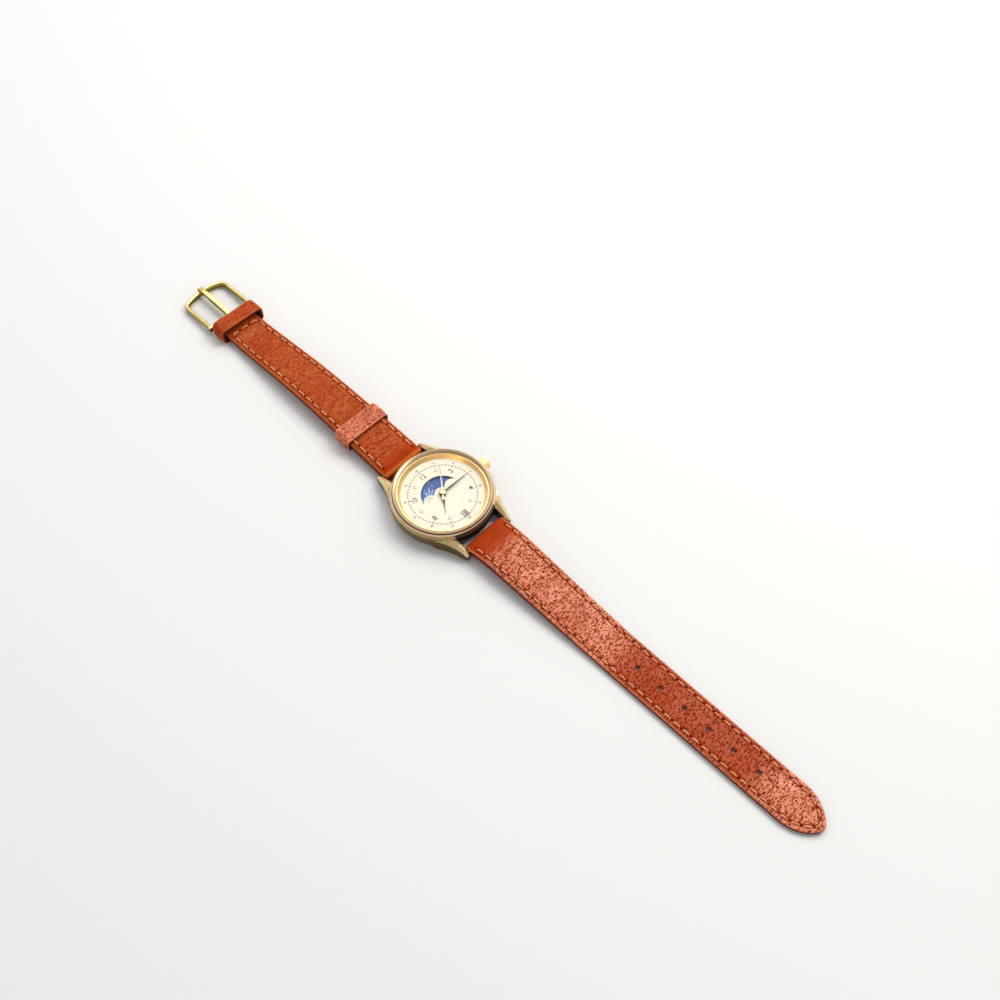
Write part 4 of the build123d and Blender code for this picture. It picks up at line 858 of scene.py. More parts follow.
def within(middles, ring, holes):
    """Whether places lie inside a ring and outside its holes."""
    held = inside(middles, ring)
    for hole in holes:
        held &= np.hypot(middles[:, 0], middles[:, 1] - hole) > HOLE_RADIUS * HOLE_WALL
    return held


def nearest(gap_lists):
    """The least of several distances at each place, or a far one where there are none."""
    return np.min(gap_lists, axis=0) if len(gap_lists) else FAR


def sheet(ring, free, grooves, pits, holes, shape):
    """A sheet over a closed plan ring, as plan, triangles, rise, gaps and ring places.

    free are the open lines of the plan's cut edges, with the leather on their left.
    shape gives the rise at plan places from their distances to edges and grooves.
    """
    rng = np.random.default_rng(SEED)
    rings = [ring]
    for hole in holes:
        rings += [round_outline((0, hole), [HOLE_RADIUS + out] * HOLE_STEPS) for out in HOLE_RINGS]
    lines = [inset(edge, out)[1:-1] for edge in free for out in EDGE_RINGS]
    lines += [inset(groove, out) for groove in grooves for out in GROOVE_RINGS]
    ring = np.asarray(ring)
    reach = np.abs(ring[:, 0]).max()
    grid = np.array([
        (x, t)
        for t in np.arange(ring[:, 1].min() + GRID_STEP, ring[:, 1].max(), GRID_STEP)
        for x in np.arange(-reach, reach, GRID_STEP)
    ])
    grid += rng.uniform(-GRID_JITTER, GRID_JITTER, grid.shape)
    clear = inside(grid, ring)
    for edge in free:
        clear &= gaps(grid, edge) > EDGE_RINGS[-1] + EDGE_CLEAR
    for groove in grooves:
        clear &= gaps(grid, groove) > GROOVE_RINGS[-1] + RING_CLEAR
    for hole in holes:
        clear &= np.hypot(grid[:, 0], grid[:, 1] - hole) > HOLE_RADIUS + HOLE_RINGS[-1] + RING_CLEAR

    plan, faces, found, starts = triangulate(
        rings, lines, grid[clear], lambda middles: within(middles, ring, holes)
    )
    edge_gap = nearest([gaps(plan, edge) for edge in free])
    groove_gap = nearest([gaps(plan, groove) for groove in grooves])
    hole_gap = nearest([np.hypot(plan[:, 0], plan[:, 1] - hole) - HOLE_RADIUS for hole in holes])
    pit_gap = nearest([np.hypot(*(plan - pit).T) for pit in pits])
    rise = shape(plan, edge_gap, groove_gap, hole_gap, pit_gap)
    numbers = [[found[start + i] for i in range(len(line))] for start, line in zip(starts, rings)]
    return plan, faces.tolist(), rise, edge_gap, groove_gap, numbers


def rounding(gap, radius):
    """How far a rounded edge drops at a distance from it."""
    share = np.clip(gap / radius, 0, 1)
    return radius * (1 - np.sqrt(1 - (1 - share) ** 2))


def dent(gap, radius):
    """A soft dent's share of its depth at a distance from its middle."""
    return np.exp(-((gap / radius) ** 2))


def soft_wave(x, t, across, along, phase):
    """One soft wave over the plan."""
    return np.sin(across * x + phase) * np.sin(along * t + 2.1 * phase)


def top_shape(strap, seed):
    """The padded crown, rolled edges, stitch grooves and soft waves of the outer leather."""
    rng = np.random.default_rng(seed)
    waves = [
        (rng.uniform(0.25, 1.3), rng.uniform(0.3, 1.6), rng.uniform(0, 2 * pi))
        for _ in range(WAVES)
    ]

    def shape(plan, edge_gap, groove_gap, hole_gap, pit_gap):
        x, t = plan[:, 0], plan[:, 1]
        thick = strap.level(0, t) - strap.level(2, t)
        padding = np.where(t > strap.bar, np.clip((thick - 1.6) / 1.3, 0, 1), 0.35)
        crown = CROWN_LEAST + CROWN_PADDED * padding
        crown *= (1 - np.clip(edge_gap / CROWN_REACH, 0, 1)) ** 2
        drop = rounding(edge_gap, EDGE_ROUND) + crown
        drop += GROOVE_DEPTH * dent(groove_gap, GROOVE_WIDTH) + PIT_DEPTH * dent(pit_gap, PIT_RADIUS)
        drop += 0.10 * np.exp(-np.clip(hole_gap, 0, None) / 0.16) - 0.05 * dent(hole_gap - 0.45, 0.3)
        wave = sum(soft_wave(x, t, *w) for w in waves) / len(waves)
        return -drop + WAVE_HEIGHT * wave * np.clip(edge_gap / WAVE_START, 0, 1)

    return shape


def side_chain(strap, start, end, breaks):
    """The right edge from one t to another, in steps that include the breaks."""
    steps = np.arange(ceil(start / GRID_STEP) * GRID_STEP, end, GRID_STEP)
    ts = np.array(sorted({round(v, 4) for v in [*steps, start, end, *breaks]}))
    ts = ts[(ts >= start - TINY) & (ts <= end + TINY)]
    ts = ts[np.concatenate([[True], np.diff(ts) > 0.02])]
    return np.column_stack([strap.half_width(strap.along(ts)[0]), ts])


def mirrored(line):
    """The other side's line, walked the other way."""
    return np.asarray(line)[::-1] * (-1, 1)


def across(first, last, step=0.6):
    """A straight line of plan points between two others, both left out."""
    count = max(2, ceil(hypot(last[0] - first[0], last[1] - first[1]) / step))
    shares = np.linspace(0, 1, count + 1)[1:-1, None]
    return np.asarray(first) + shares * (np.asarray(last) - np.asarray(first))


def closed_strap(strap, ring, free, grooves, pits, holes, seed, lining_end):
    """Points, faces and texture places of the outer leather, closed underneath."""
    plan, faces, rise, edge_gap, groove_gap, numbers = sheet(
        ring, free, grooves, pits, holes, top_shape(strap, seed)
    )
    points = list(strap.spots(plan[:, 0], plan[:, 1], rise))
    grain = [(x, t, 0.0) for x, t in plan]
    edge = list(np.clip(1 - edge_gap / EDGE_SHADE, 0, 1))
    sewn = list(np.clip(1 - groove_gap / SEAM_SHADE, 0, 1))
    start = strap.lining_start
    outer = numbers[0]
    ring = np.asarray(ring)

    def below(x, place):
        """A point of the leather's underside, where the lining meets it."""
        points.append((x, strap.side * place, float(strap.level(1, place))))
        grain.append((x, place, UNDER_GRAIN))
        edge.append(1.0)
        sewn.append(0.0)
        return len(points) - 1

    # Each ring point above the lining has a partner below it
    partner = {}
    for i, (x, t) in enumerate(ring):
        if start - SAME <= t <= lining_end + SAME:
            partner[i] = below(x, t)
    count = len(ring)
    for i in range(count):
        j = (i + 1) % count
        if i in partner and j in partner:
            faces.append([outer[i], outer[j], partner[j], partner[i]])

    # Where the leather runs on round a loop, its turned end meets the underside
    first = next(k for k in partner if (k - 1) % count not in partner)
    order = [(first + k) % count for k in range(count)]
    jumps = {}
    for held, run in groupby(order, partner.__contains__):
        if held:
            continue
        run = list(run)
        before, after = (run[0] - 1) % count, (run[-1] + 1) % count
        nearest_t, farthest_t = ring[run, 1].min(), ring[run, 1].max()
        turned_end = nearest_t if nearest_t < start else farthest_t
        ends = [k for k in run if abs(ring[k, 1] - turned_end) < SAME]
        place = float(strap.along(turned_end)[0])
        lower = [partner[before]] + [below(ring[k, 0], place) for k in ends[1:-1]] + [partner[after]]
        jumps[before] = (after, lower)
        for (a, b), (c, d) in zip(zip(ends, ends[1:]), zip(lower, lower[1:])):
            faces.append([outer[a], outer[b], d, c])
        near_side = [before, *run[: run.index(ends[0]) + 1]]
        far_side = [*run[run.index(ends[-1]):], after]
        faces.append([outer[k] for k in near_side] + [lower[0]])
        faces.append([outer[k] for k in far_side] + [lower[-1]])

    # Underside, hidden by the lining
    loop = []
    k = next(iter(partner))
    while not loop or partner[k] != loop[0]:
        loop.append(partner[k])
        following, lower = jumps.get(k, ((k + 1) % count, []))
        loop += lower[1:-1]
        k = following
    hole_loops = []
    for number, hole in enumerate(holes):
        upper = numbers[1 + number * len(HOLE_RINGS)]
        lower = [below(plan[u, 0], plan[u, 1]) for u in upper]
        for i in range(len(upper)):
            faces.append([upper[i - 1], upper[i], lower[i], lower[i - 1]])
        hole_loops.append(lower)
    rings = [
        [(points[k][0], strap.side * points[k][1]) for k in chain] for chain in (loop, *hole_loops)
    ]
    _, under_faces, found, starts = triangulate(
        rings, [], [], lambda middles: within(middles, rings[0], holes)
    )
    names = {
        found[start + i]: k
        for start, chain in zip(starts, (loop, *hole_loops)) for i, k in enumerate(chain)
    }
    faces += [[names[v] for v in face] for face in under_faces.tolist()]
    return points, faces, grain, edge, sewn


def plate(strap, ring, holes, grooves, pits):
    """Points and faces of the lining, closed, with a rounded lower edge."""

    def shape(plan, edge_gap, groove_gap, hole_gap, pit_gap):
        drop = rounding(edge_gap, LINING_ROUND) + rounding(np.clip(hole_gap, 0, FAR), 0.1)
        return drop + 0.12 * dent(groove_gap, GROOVE_WIDTH) + 0.25 * dent(pit_gap, PIT_RADIUS)

    closed = np.vstack([ring, ring[:1]])
    plan, faces, rise, edge_gap, _, numbers = sheet(ring, [closed], grooves, pits, holes, shape)
    count = len(plan)
    y = strap.side * plan[:, 1]
    split = strap.level(1, plan[:, 1]) - LINING_SUNK
    under = np.minimum(strap.level(2, plan[:, 1]) + rise, split - LINING_LEAST)
    points = [*zip(plan[:, 0], y, under), *zip(plan[:, 0], y, split)]
    faces = faces + [[count + v for v in face] for face in faces]
    for loop in (numbers[0], *numbers[1::len(HOLE_RINGS)]):
        faces += [[a, b, count + b, count + a] for a, b in zip(loop, loop[1:] + loop[:1])]
    grain = [(x, t, 0.0) for x, t in plan] + [(x, t, 0.5) for x, t in plan]
    edge = list(np.clip(1 - edge_gap / 0.3, 0, 1) * 0.8) * 2
    return points, faces, grain, edge


def stitches(strap, path, count, under=False):
    """Twisted two-strand stitches along a path in the plan, one closed form each strand."""
    pile = Pile()
    share = np.linspace(0, 1, STITCH_STEPS)
    lift = STITCH_END + STITCH_RISE * np.sin(pi * share) ** 0.35
    radius = THREAD_RADIUS * (0.55 + 0.45 * np.sin(pi * share) ** 0.4)
    turns = [2 * pi * corner / THREAD_SIDES for corner in range(THREAD_SIDES)]
    for k in range(count):
        middle = walk(path, (k + (1 - STITCH_SHARE) / 2 + share * STITCH_SHARE) / count)
        side = inset(middle, 1.0) - middle
        for strand in (0, 1):
            phase = pi * strand + 2 * pi * THREAD_TURNS * share + 0.7 * k
            centre = middle + side * (THREAD_TWIST * np.cos(phase))[:, None]
            height = lift + THREAD_TWIST * np.sin(phase)
            pile.add(*skin([
                [(*(centre[i] + side[i] * radius[i] * cos(a)), height[i] + radius[i] * sin(a))
                 for a in turns]
                for i in range(STITCH_STEPS)
            ]))
    x, t, rise = np.array(pile.points).T
    if under:
        placed = np.column_stack([x, strap.side * t, strap.level(2, t) - rise + STITCH_SUNK])
    else:
        placed = strap.spots(x, t, rise - STITCH_DROP)
    return placed, pile.faces, pile.points


def cut_at(made, y, keep_far):
    """Keeps one side of a strap mesh, cut square across and closed."""
    work = bmesh.new()
    work.from_mesh(made.data)
    result = bmesh.ops.bisect_plane(
        work, geom=work.verts[:] + work.edges[:] + work.faces[:], plane_co=(0, y * MM, 0),
        plane_no=(0, 1 if keep_far else -1, 0), clear_inner=True,
    )
    rim = [e for e in result["geom_cut"] if isinstance(e, bmesh.types.BMEdge)]
    bmesh.ops.triangle_fill(work, edges=rim, use_beauty=True)
    work.to_mesh(made.data)
    work.free()
    made.data.set_sharp_from_angle(angle=radians(40))


# Strap pieces


def strap_steps(path, pitch):
    """How many stitches fit a path."""
    return round(evenly(path, SEAM_STEP)[1] / pitch)


def bend(made, joint, first, second, side):
    """Bakes a strap mesh's placing into its points; it does not bend it."""
    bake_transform(made)


LONG_STITCH = 2.95
SHORT_STITCH = 3.45
STITCH_INSET = 1.45
STITCH_START = 18.4
BACK_START = 0.6
SEAM_TURN = 1.1
SEAM_END = 88.0

bar_6 = axis_place("long_strap_swing")
bar_12 = axis_place("short_strap_swing")
pin_axis = axis_place("buckle_swing")
holes = [HOLE_FIRST + k * HOLE_PITCH for k in range(HOLE_COUNT)]

long_tops = [f"strap_long_top_{k}" for k in (1, 2, 3)]
long_linings = [f"strap_long_lining_{k}" for k in (1, 2, 3)]
short_tops = [f"strap_short_top_{k}" for k in (1, 2)]
short_linings = [f"strap_short_lining_{k}" for k in (1, 2)]

long_end = abs(low("strap_long_top_3").y)
long = Strap(-1, LONG_WIDTHS, long_tops, long_linings, bar_6, long_end)
slot_start = high("strap_short_lining_2").y
short = Strap(1, SHORT_WIDTHS, short_tops, short_linings, bar_12, pin_axis.y, pin_axis)

# Plan of the long piece: straight tapers, then a pointed tip of two arcs
shoulder_place, shoulder_half = LONG_WIDTHS[-1]
tip_reach = LONG_TIP - shoulder_place
tip_radius = (shoulder_half**2 + tip_reach**2) / (2 * shoulder_half)
tip_centre = (shoulder_half - tip_radius, shoulder_place)
round_centre = (
    0.0, shoulder_place + sqrt((tip_radius - LONG_TIP_ROUND) ** 2 - tip_centre[0] ** 2)
)
tip_turn = np.arctan2(round_centre[1] - tip_centre[1], -tip_centre[0])
lug_turn = long.bar - pi * LUG_LOOP
long_start = lug_turn - (long.lining_start - long.bar)
long_right = np.vstack([
    side_chain(long, long_start, shoulder_place, (lug_turn, long.bar, long.lining_start)),
    arc(tip_centre, tip_radius, 0, tip_turn, 20)[1:],
    arc(round_centre, LONG_TIP_ROUND, tip_turn, pi / 2, 8)[1:],
])
long_free = np.vstack([long_right, mirrored(long_right)[1:]])
long_ring = np.vstack([long_free, across(long_free[-1], long_free[0])])
long_stitch_line = inset(long_free, STITCH_INSET)
long_stitch_line = long_stitch_line[long_stitch_line[:, 1] > STITCH_START]
long_stitch_line = evenly(long_stitch_line, LONG_STITCH / 9)[0]

# Plan of the short piece, with the tongue's slot in its far end
pin_turn = pin_axis.y + pi * PIN_LOOP
short_end = pin_turn + (pin_axis.y - slot_start)
short_start = short.bar - pi * LUG_LOOP - (short.lining_start - short.bar)
short_right = side_chain(
    short, short_start, short_end,
    (short.bar - pi * LUG_LOOP, short.bar, short.lining_start, slot_start, pin_axis.y, pin_turn),
)
far_right = short_right[-1]
slot_places = np.linspace(short_end, slot_start, SLOT_STEPS)
slot_side = np.column_stack([np.full_like(slot_places, SLOT_HALF), slot_places])
slot_foot = across(slot_side[-1], slot_side[-1] * (-1, 1))
slot_line = np.vstack([slot_side, slot_foot, mirrored(slot_side)])
short_ring = np.vstack([
    short_right,
    across(far_right, slot_side[0]),
    slot_line,
    across(slot_side[0] * (-1, 1), far_right * (-1, 1)),
    mirrored(short_right),
    across(short_right[0] * (-1, 1), short_right[0]),
])
seam_half = SHORT_WIDTHS[-1][1] - STITCH_INSET
short_side = inset(short_right, STITCH_INSET)
seam_places = short_side[:, 1]
short_side = short_side[(seam_places > STITCH_START) & (seam_places < SEAM_END - SEAM_TURN)]
corner = arc((seam_half - SEAM_TURN, SEAM_END - SEAM_TURN), SEAM_TURN, 0, pi / 2, 5)
short_half = np.vstack([short_side, corner])
short_stitch_line = evenly(np.vstack([short_half, mirrored(short_half)]), SHORT_STITCH / 10)[0]


def dress(label, strap, ring, free, seam, pitch, punched, lining_ring, lining_end):
    """Leather, lining and stitches of one strap piece, as meshes still in one length."""
    count = strap_steps(seam, pitch)
    pits = walk(seam, np.linspace(0, 1, count + 1))
    points, faces, grain, edge, sewn_near = closed_strap(
        strap, ring, free, [seam], pits, punched, SEED + len(label), lining_end
    )
    upper = build(
        f"{label}_upper", points, faces, "strap_leather", grain=grain, edge=edge, seam=sewn_near
    )
    under_seam = seam[seam[:, 1] > strap.lining_start + BACK_START]
    points, faces, grain, edge = plate(strap, lining_ring, punched, [under_seam], pits)
    back = build(f"{label}_lining", points, faces, "strap_lining", grain=grain, edge=edge)
    points, faces, grain = stitches(strap, seam, count)
    sewn = build(f"{label}_stitches", points, faces, "strap_thread", grain=grain)
    points, faces, grain = stitches(strap, under_seam, strap_steps(under_seam, LONG_STITCH), True)
    sewn_under = build(f"{label}_back_stitches", points, faces, "strap_thread", grain=grain)
    return [upper, back, sewn, sewn_under]


def inner_ring(strap, right, end, tip=None):
    """The lining's plan: the strap's outline from the lining's start, drawn in a little."""
    places = right[:, 1]
    keep = inset(right[(places >= strap.lining_start - SAME) & (places <= end + SAME)], LINING_INSET)
    if tip:
        keep = keep[:-1]
        middle = [tip]
    else:
        middle = across(keep[-1], keep[-1] * (-1, 1))
    whole = np.vstack([keep, middle, mirrored(keep)])
    return np.vstack([whole, across(whole[-1], whole[0])])


lining_tip = (0.0, long_right[-1][1] - LINING_INSET)
long_lining_ring = inner_ring(long, long_right, LONG_TIP, lining_tip)
short_lining_ring = inner_ring(short, short_right, slot_start)

long_parts = dress(
    "strap_long", long, long_ring, [long_free], long_stitch_line, LONG_STITCH, holes,
    long_lining_ring, LONG_TIP,
)
short_parts = dress(
    "strap_short", short, short_ring, [short_right, slot_line, mirrored(short_right)],
    short_stitch_line, SHORT_STITCH, [], short_lining_ring, slot_start,
)

cad_of = {
    "strap_long_upper": long_tops, "strap_long_lining": long_linings,
    "strap_short_upper": short_tops, "strap_short_lining": short_linings,
}
for made in short_parts:
    bend(made, "short_strap_curl", "strap_short_a", "strap_short_b", 1)
    if made.name in cad_of:
        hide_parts(*cad_of[made.name])

split_place = holes[0] - HOLE_PITCH / 2
for made in long_parts:
    far = made.copy()
    far.data = made.data.copy()
    bpy.context.collection.objects.link(far)
    base = made.name
    far.name = base + "_outer"
    made.name = base + "_inner"
    cut_at(made, -split_place, True)
    cut_at(far, -split_place, False)
    bend(made, "long_strap_curl_1", "strap_long_a", "strap_long_b", -1)
    bend(far, "long_strap_curl_2", "strap_long_b", "strap_long_c", -1)
    if base in cad_of:
        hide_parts(cad_of[base][0])
        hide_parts(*cad_of[base][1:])

# Leather keepers

KEEPER_STEPS = 200
KEEPER_CORNER_STEPS = 10
KEEPER_EDGE = 0.24
KEEPER_INNER_EDGE = 0.1
KEEPER_BURNISH = 0.8
KEEPER_WAVE = 0.10


def keeper(node, body, wall, corner, bulge, axis, seed):
    """A leather band with rounded edges, round a rounded opening, in place of its CAD node."""
    rng = np.random.default_rng(seed)
    lowest, highest = low(node), high(node)
    middle = (lowest + highest) / 2
    axis = Vector(axis).normalized()
    lean = np.arctan2(axis.z, axis.y)
    tall = highest.z - lowest.z
    length = (highest.y - lowest.y - tall * sin(lean)) / cos(lean)
    tall = (tall - length * sin(lean)) / cos(lean)
    half_x, half_z = (highest.x - lowest.x) / 2, tall / 2

    path, normals = [], []
    for turn, (cx, cz) in enumerate(((1, 1), (-1, 1), (-1, -1), (1, -1))):
        for angle in np.linspace(turn * pi / 2, (turn + 1) * pi / 2, KEEPER_CORNER_STEPS + 1):
            out_x, out_z = cos(angle), sin(angle)
            path.append((
                cx * (half_x - corner) + corner * out_x, cz * (half_z - corner) + corner * out_z
            ))
            normals.append((out_x, out_z))
    path, normals = np.array(path + path[:1]), np.array(normals + normals[:1])
    steps = np.concatenate([[0], np.cumsum(np.hypot(*np.diff(path, axis=0).T))])
    wanted = np.linspace(0, steps[-1], KEEPER_STEPS + 1)[:-1]
    path = np.column_stack([np.interp(wanted, steps, path[:, k]) for k in (0, 1)])
    normals = np.column_stack([np.interp(wanted, steps, normals[:, k]) for k in (0, 1)])

    # Section across the band: how far in from the outer face, and how far along
    ends = np.linspace(0, pi / 2, 5)
    r, small = KEEPER_EDGE, KEEPER_INNER_EDGE
    section = [(r - r * sin(a), r - r * cos(a)) for a in ends]
    section += [(0.0, along) for along in np.linspace(r, length - r, 9)[1:-1]]
    section += [(r - r * cos(a), length - r + r * sin(a)) for a in ends]
    section += [(wall - small + small * sin(a), length - small + small * cos(a)) for a in ends]
    section += [(wall, along) for along in np.linspace(length - small, small, 5)[1:-1]]
    section += [(wall - small + small * cos(a), small - small * sin(a)) for a in ends]
    section = np.array(section)
    outer = section[:, 0] < r + TINY

    waves = rng.uniform((0.4, 0.5, 0), (1.5, 1.6, 2 * pi), (9, 3))
    rows, grain, edge = [], [], []
    for (x, z), (nx, nz), reach in zip(path, normals, wanted):
        wave = sum(np.sin(a * reach + p) * np.sin(b * section[:, 1] + 2 * p) for a, b, p in waves)
        crown = bulge * (1 - (2 * section[:, 1] / length - 1) ** 2)
        rise = np.where(outer, crown + KEEPER_WAVE * wave / len(waves), 0.0) - section[:, 0]
        along = section[:, 1] - length / 2
        out_x, out_z = x + nx * rise, z + nz * rise
        rows.append(np.column_stack([
            middle.x + out_x,
            middle.y + along * cos(lean) - out_z * sin(lean),
            middle.z + along * sin(lean) + out_z * cos(lean),
        ]))
        grain.append(np.column_stack([
            np.full(len(section), reach), middle.y + along, section[:, 0]
        ]))
        end_gap = np.minimum(section[:, 1], length - section[:, 1])
        edge.append(np.where(outer, np.clip(1 - end_gap / KEEPER_BURNISH, 0, 1), 1.0))
    band = build(
        node + "_leather", *skin(rows, closed=True), "strap_leather", 60.0,
        grain=np.vstack(grain), edge=np.concatenate(edge),
    )
    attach(band, body)
    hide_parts(node)


slide = joint_list["sliding_keeper_slide"]["axis"]
keeper("sliding_keeper", "sliding_keeper", 0.62, 1.25, 0.12, slide, SEED + 1)
keeper("fixed_keeper", "strap_short_b", 0.7, 1.5, 0.16, (0.0, 1.0, 0.0), SEED + 2)

# Dial print

PRINT_RISE = 0.014
PRINT_SUNK = 0.02
PRINT_LINE = 0.09
NUMERAL_PLACE = 8.0
NUMERAL_HEIGHT = 1.62
NUMERAL_SQUEEZE = (1.0, 0.84)
NUMERAL_WEIGHT = (0.012, 0.008)
NUMERAL_HOURS = (2, 4, 8, 10, 12)
SPOT_HOURS = (1, 3, 5, 7, 9, 11)
SPOT_RADIUS = 0.47
SPOT_HOLLOW = 0.37
SPOT_OFFSET = 0.06
SPOT_STEPS = 32
TRACK_RADIUS = 9.73
TICK = (0.42, 0.14)
FIVE_TICK = (0.60, 0.24)
MINUTE_PLACE = 10.62
MINUTE_HEIGHT = 0.66
MINUTES = 60
HOURS = 12
DIAL_THICK = 0.4

DATE_PLACE = 8.83
DATE_WIDTH = 1.7
DATE_LENGTH = 2.1
DATE_FRAME = 0.10
DATE_HEIGHT = 1.7
DATE_SQUEEZE = 0.72
DATE_TODAY = 11
DATE_STROKES = (1, 11)
DATE_COUNT = 31

WINDOW_RADIUS = 6.1
WINDOW_FOOT = 1.2
WINDOW_HUB = 2.35
LOBE_SIDE = 3.95
LOBE_UP = 0.2
LOBE_RADIUS = 2.2
RIM_WIDTH = 0.17
RIM_RISE = 0.05
CLOUD_ARCS = ((1.72, 0.62, 2.5), (1.28, 0.30, 1.9), (0.86, 1.0, 2.9))
CLOUD_LINE = (0.012, 0.038)

dial_top = high("dial").z
dial_low = dial_top - DIAL_THICK


def stroke(line, half_widths, bottom, top):
    """Points and faces of a printed stroke along a line in plan."""
    line = np.asarray(line, float)
    side = inset(line, 1.0) - line
    wide = np.asarray(half_widths, float)[:, None]
    return prism(np.vstack([line - side * wide, (line + side * wide)[::-1]]), bottom, top)


def box_outline(width, height, centre):
    """The four corners of an upright oblong in plan."""
    x, y = width / 2, height / 2
    return [(centre[0] + a * x, centre[1] + b * y) for a, b in ((-1, -1), (1, -1), (1, 1), (-1, 1))]


def clock(share, radius):
    """Plan place at a share of the dial's turn, from 12 o'clock."""
    return radius * sin(2 * pi * share), radius * cos(2 * pi * share)


def stamped(text, height, place, top, squeeze=1.0, angle=0.0, weight=0.012):
    """Digits printed on a level surface, turned about the dial's axis after placing."""
    points, faces = lettering(text, height, PRINT_RISE + PRINT_SUNK, squeeze, weight)
    lift = top + (PRINT_RISE - PRINT_SUNK) / 2
    points = [(x + place[0], y + place[1], z + lift) for x, y, z in points]
    return turned(points, angle), faces


printed = (dial_top - PRINT_SUNK, dial_top + PRINT_RISE)
track, figures, spots, minutes = Pile(), Pile(), Pile(), Pile()
window_half = DATE_WIDTH / 2 + DATE_FRAME
opening = np.arcsin((window_half + PRINT_LINE) / TRACK_RADIUS)
track.add(*hoop(
    TRACK_RADIUS - PRINT_LINE / 2, TRACK_RADIUS + PRINT_LINE / 2, *printed,
    start=opening - pi / 2, end=3 * pi / 2 - opening, steps=240,
))
for minute in range(MINUTES):
    five = minute % (MINUTES // HOURS) == 0
    if minute == MINUTES // 2:
        continue
    reach, wide = FIVE_TICK if five else TICK
    points, faces = prism(box_outline(reach, wide, (TRACK_RADIUS - reach / 2, 0)), *printed)
    track.add(turned(points, 2 * pi * minute / MINUTES), faces)
for hour in NUMERAL_HOURS:
    figures.add(*stamped(
        str(hour), NUMERAL_HEIGHT, clock(hour / HOURS, NUMERAL_PLACE), dial_top,
        NUMERAL_SQUEEZE[len(str(hour)) - 1], weight=NUMERAL_WEIGHT[len(str(hour)) - 1],
    ))
for hour in SPOT_HOURS:
    x, y = clock(hour / HOURS, NUMERAL_PLACE)
    spots.add(*band(
        round_outline((x, y), [SPOT_RADIUS] * SPOT_STEPS),
        round_outline((x + SPOT_OFFSET, y), [SPOT_HOLLOW] * SPOT_STEPS), *printed,
    ))
for five in range(1, HOURS + 1):
    minutes.add(*stamped(
        str(five * MINUTES // HOURS), MINUTE_HEIGHT, clock(five / HOURS, MINUTE_PLACE), dial_top
    ))
frame_pile = Pile()
date_middle = (0.0, -DATE_PLACE)
frame_pile.add(*band(
    box_outline(DATE_WIDTH + 2 * DATE_FRAME, DATE_LENGTH + 2 * DATE_FRAME, date_middle),
    box_outline(DATE_WIDTH, DATE_LENGTH, date_middle), *printed,
))
for pile, name in (
    (track, "dial_minute_track"), (figures, "dial_hour_numerals"), (spots, "dial_hour_spots"),
    (minutes, "dial_minute_numerals"), (frame_pile, "dial_date_frame"),
):
    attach(pile.build(name, "dial_print"), "case")


# Moon window: its pale rim, its dark inner edge of print with painted shade, and the clouds beside its left lobe

def meet(radius):
    """Angle at which a circle about the dial's axis crosses the window's foot."""
    return np.arcsin(WINDOW_FOOT / radius)


def window_line(out):
    """The window's outline, drawn out by a margin, anticlockwise from its right end."""
    lobe_low = np.arcsin((WINDOW_FOOT - LOBE_UP) / LOBE_RADIUS)
    start = meet(WINDOW_RADIUS)
    line = arc((0, 0), WINDOW_RADIUS + out, start, pi - start, 72)
    line += arc((-LOBE_SIDE, LOBE_UP), LOBE_RADIUS - out, pi - lobe_low, lobe_low, 32)
    line += arc((0, 0), WINDOW_HUB - out, pi - meet(WINDOW_HUB), meet(WINDOW_HUB), 24)
    line += arc((LOBE_SIDE, LOBE_UP), LOBE_RADIUS - out, pi - lobe_low, lobe_low, 32)
    return line


rim = Pile()
rim.add(*band(window_line(RIM_WIDTH), window_line(0.0), dial_top - PRINT_SUNK, dial_top + RIM_RISE))
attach(rim.build("dial_moon_rim", "date_white"), "case")

start = meet(WINDOW_RADIUS)
# A dark ring under the dial just inside the window's outer arc: a printed outline, with painted shade where the
# dial's edge shades the disc
shade = Pile()
shade.add(*hoop(
    WINDOW_RADIUS - RIM_WIDTH, WINDOW_RADIUS + PRINT_LINE, dial_low + PRINT_LINE,
    dial_low + 2 * PRINT_LINE, start=start, end=pi - start, steps=72,
))
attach(shade.build("dial_moon_edge", "dial_print"), "case")

clouds = Pile()
for radius, first, last in CLOUD_ARCS:
    line = arc((-LOBE_SIDE, LOBE_UP), radius, first, last, 20)
    shares = np.sin(np.linspace(0, pi, len(line)))
    clouds.add(*stroke(line, CLOUD_LINE[0] + CLOUD_LINE[1] * shares, *printed))
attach(clouds.build("dial_clouds", "dial_print"), "case")

# Date figures
DATE_PLATE = (7.7, 10.0)
DATE_DROP = 0.08
date_top = dial_low - DATE_DROP
plate_pile = Pile()
plate_pile.add(*hoop(*DATE_PLATE, high("date_ring").z, date_top, steps=180))
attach(plate_pile.build("date_plate", "date_white"), "date_ring")
dates = Pile()
for number in range(1, DATE_COUNT + 1):
    dates.add(*stamped(
        str(number).replace("1", "I"), DATE_HEIGHT, date_middle, date_top,
        1.0 if number in DATE_STROKES else DATE_SQUEEZE,
        2 * pi * (number - DATE_TODAY) / DATE_COUNT,
    ))
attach(dates.build("date_figures", "dial_print"), "date_ring")

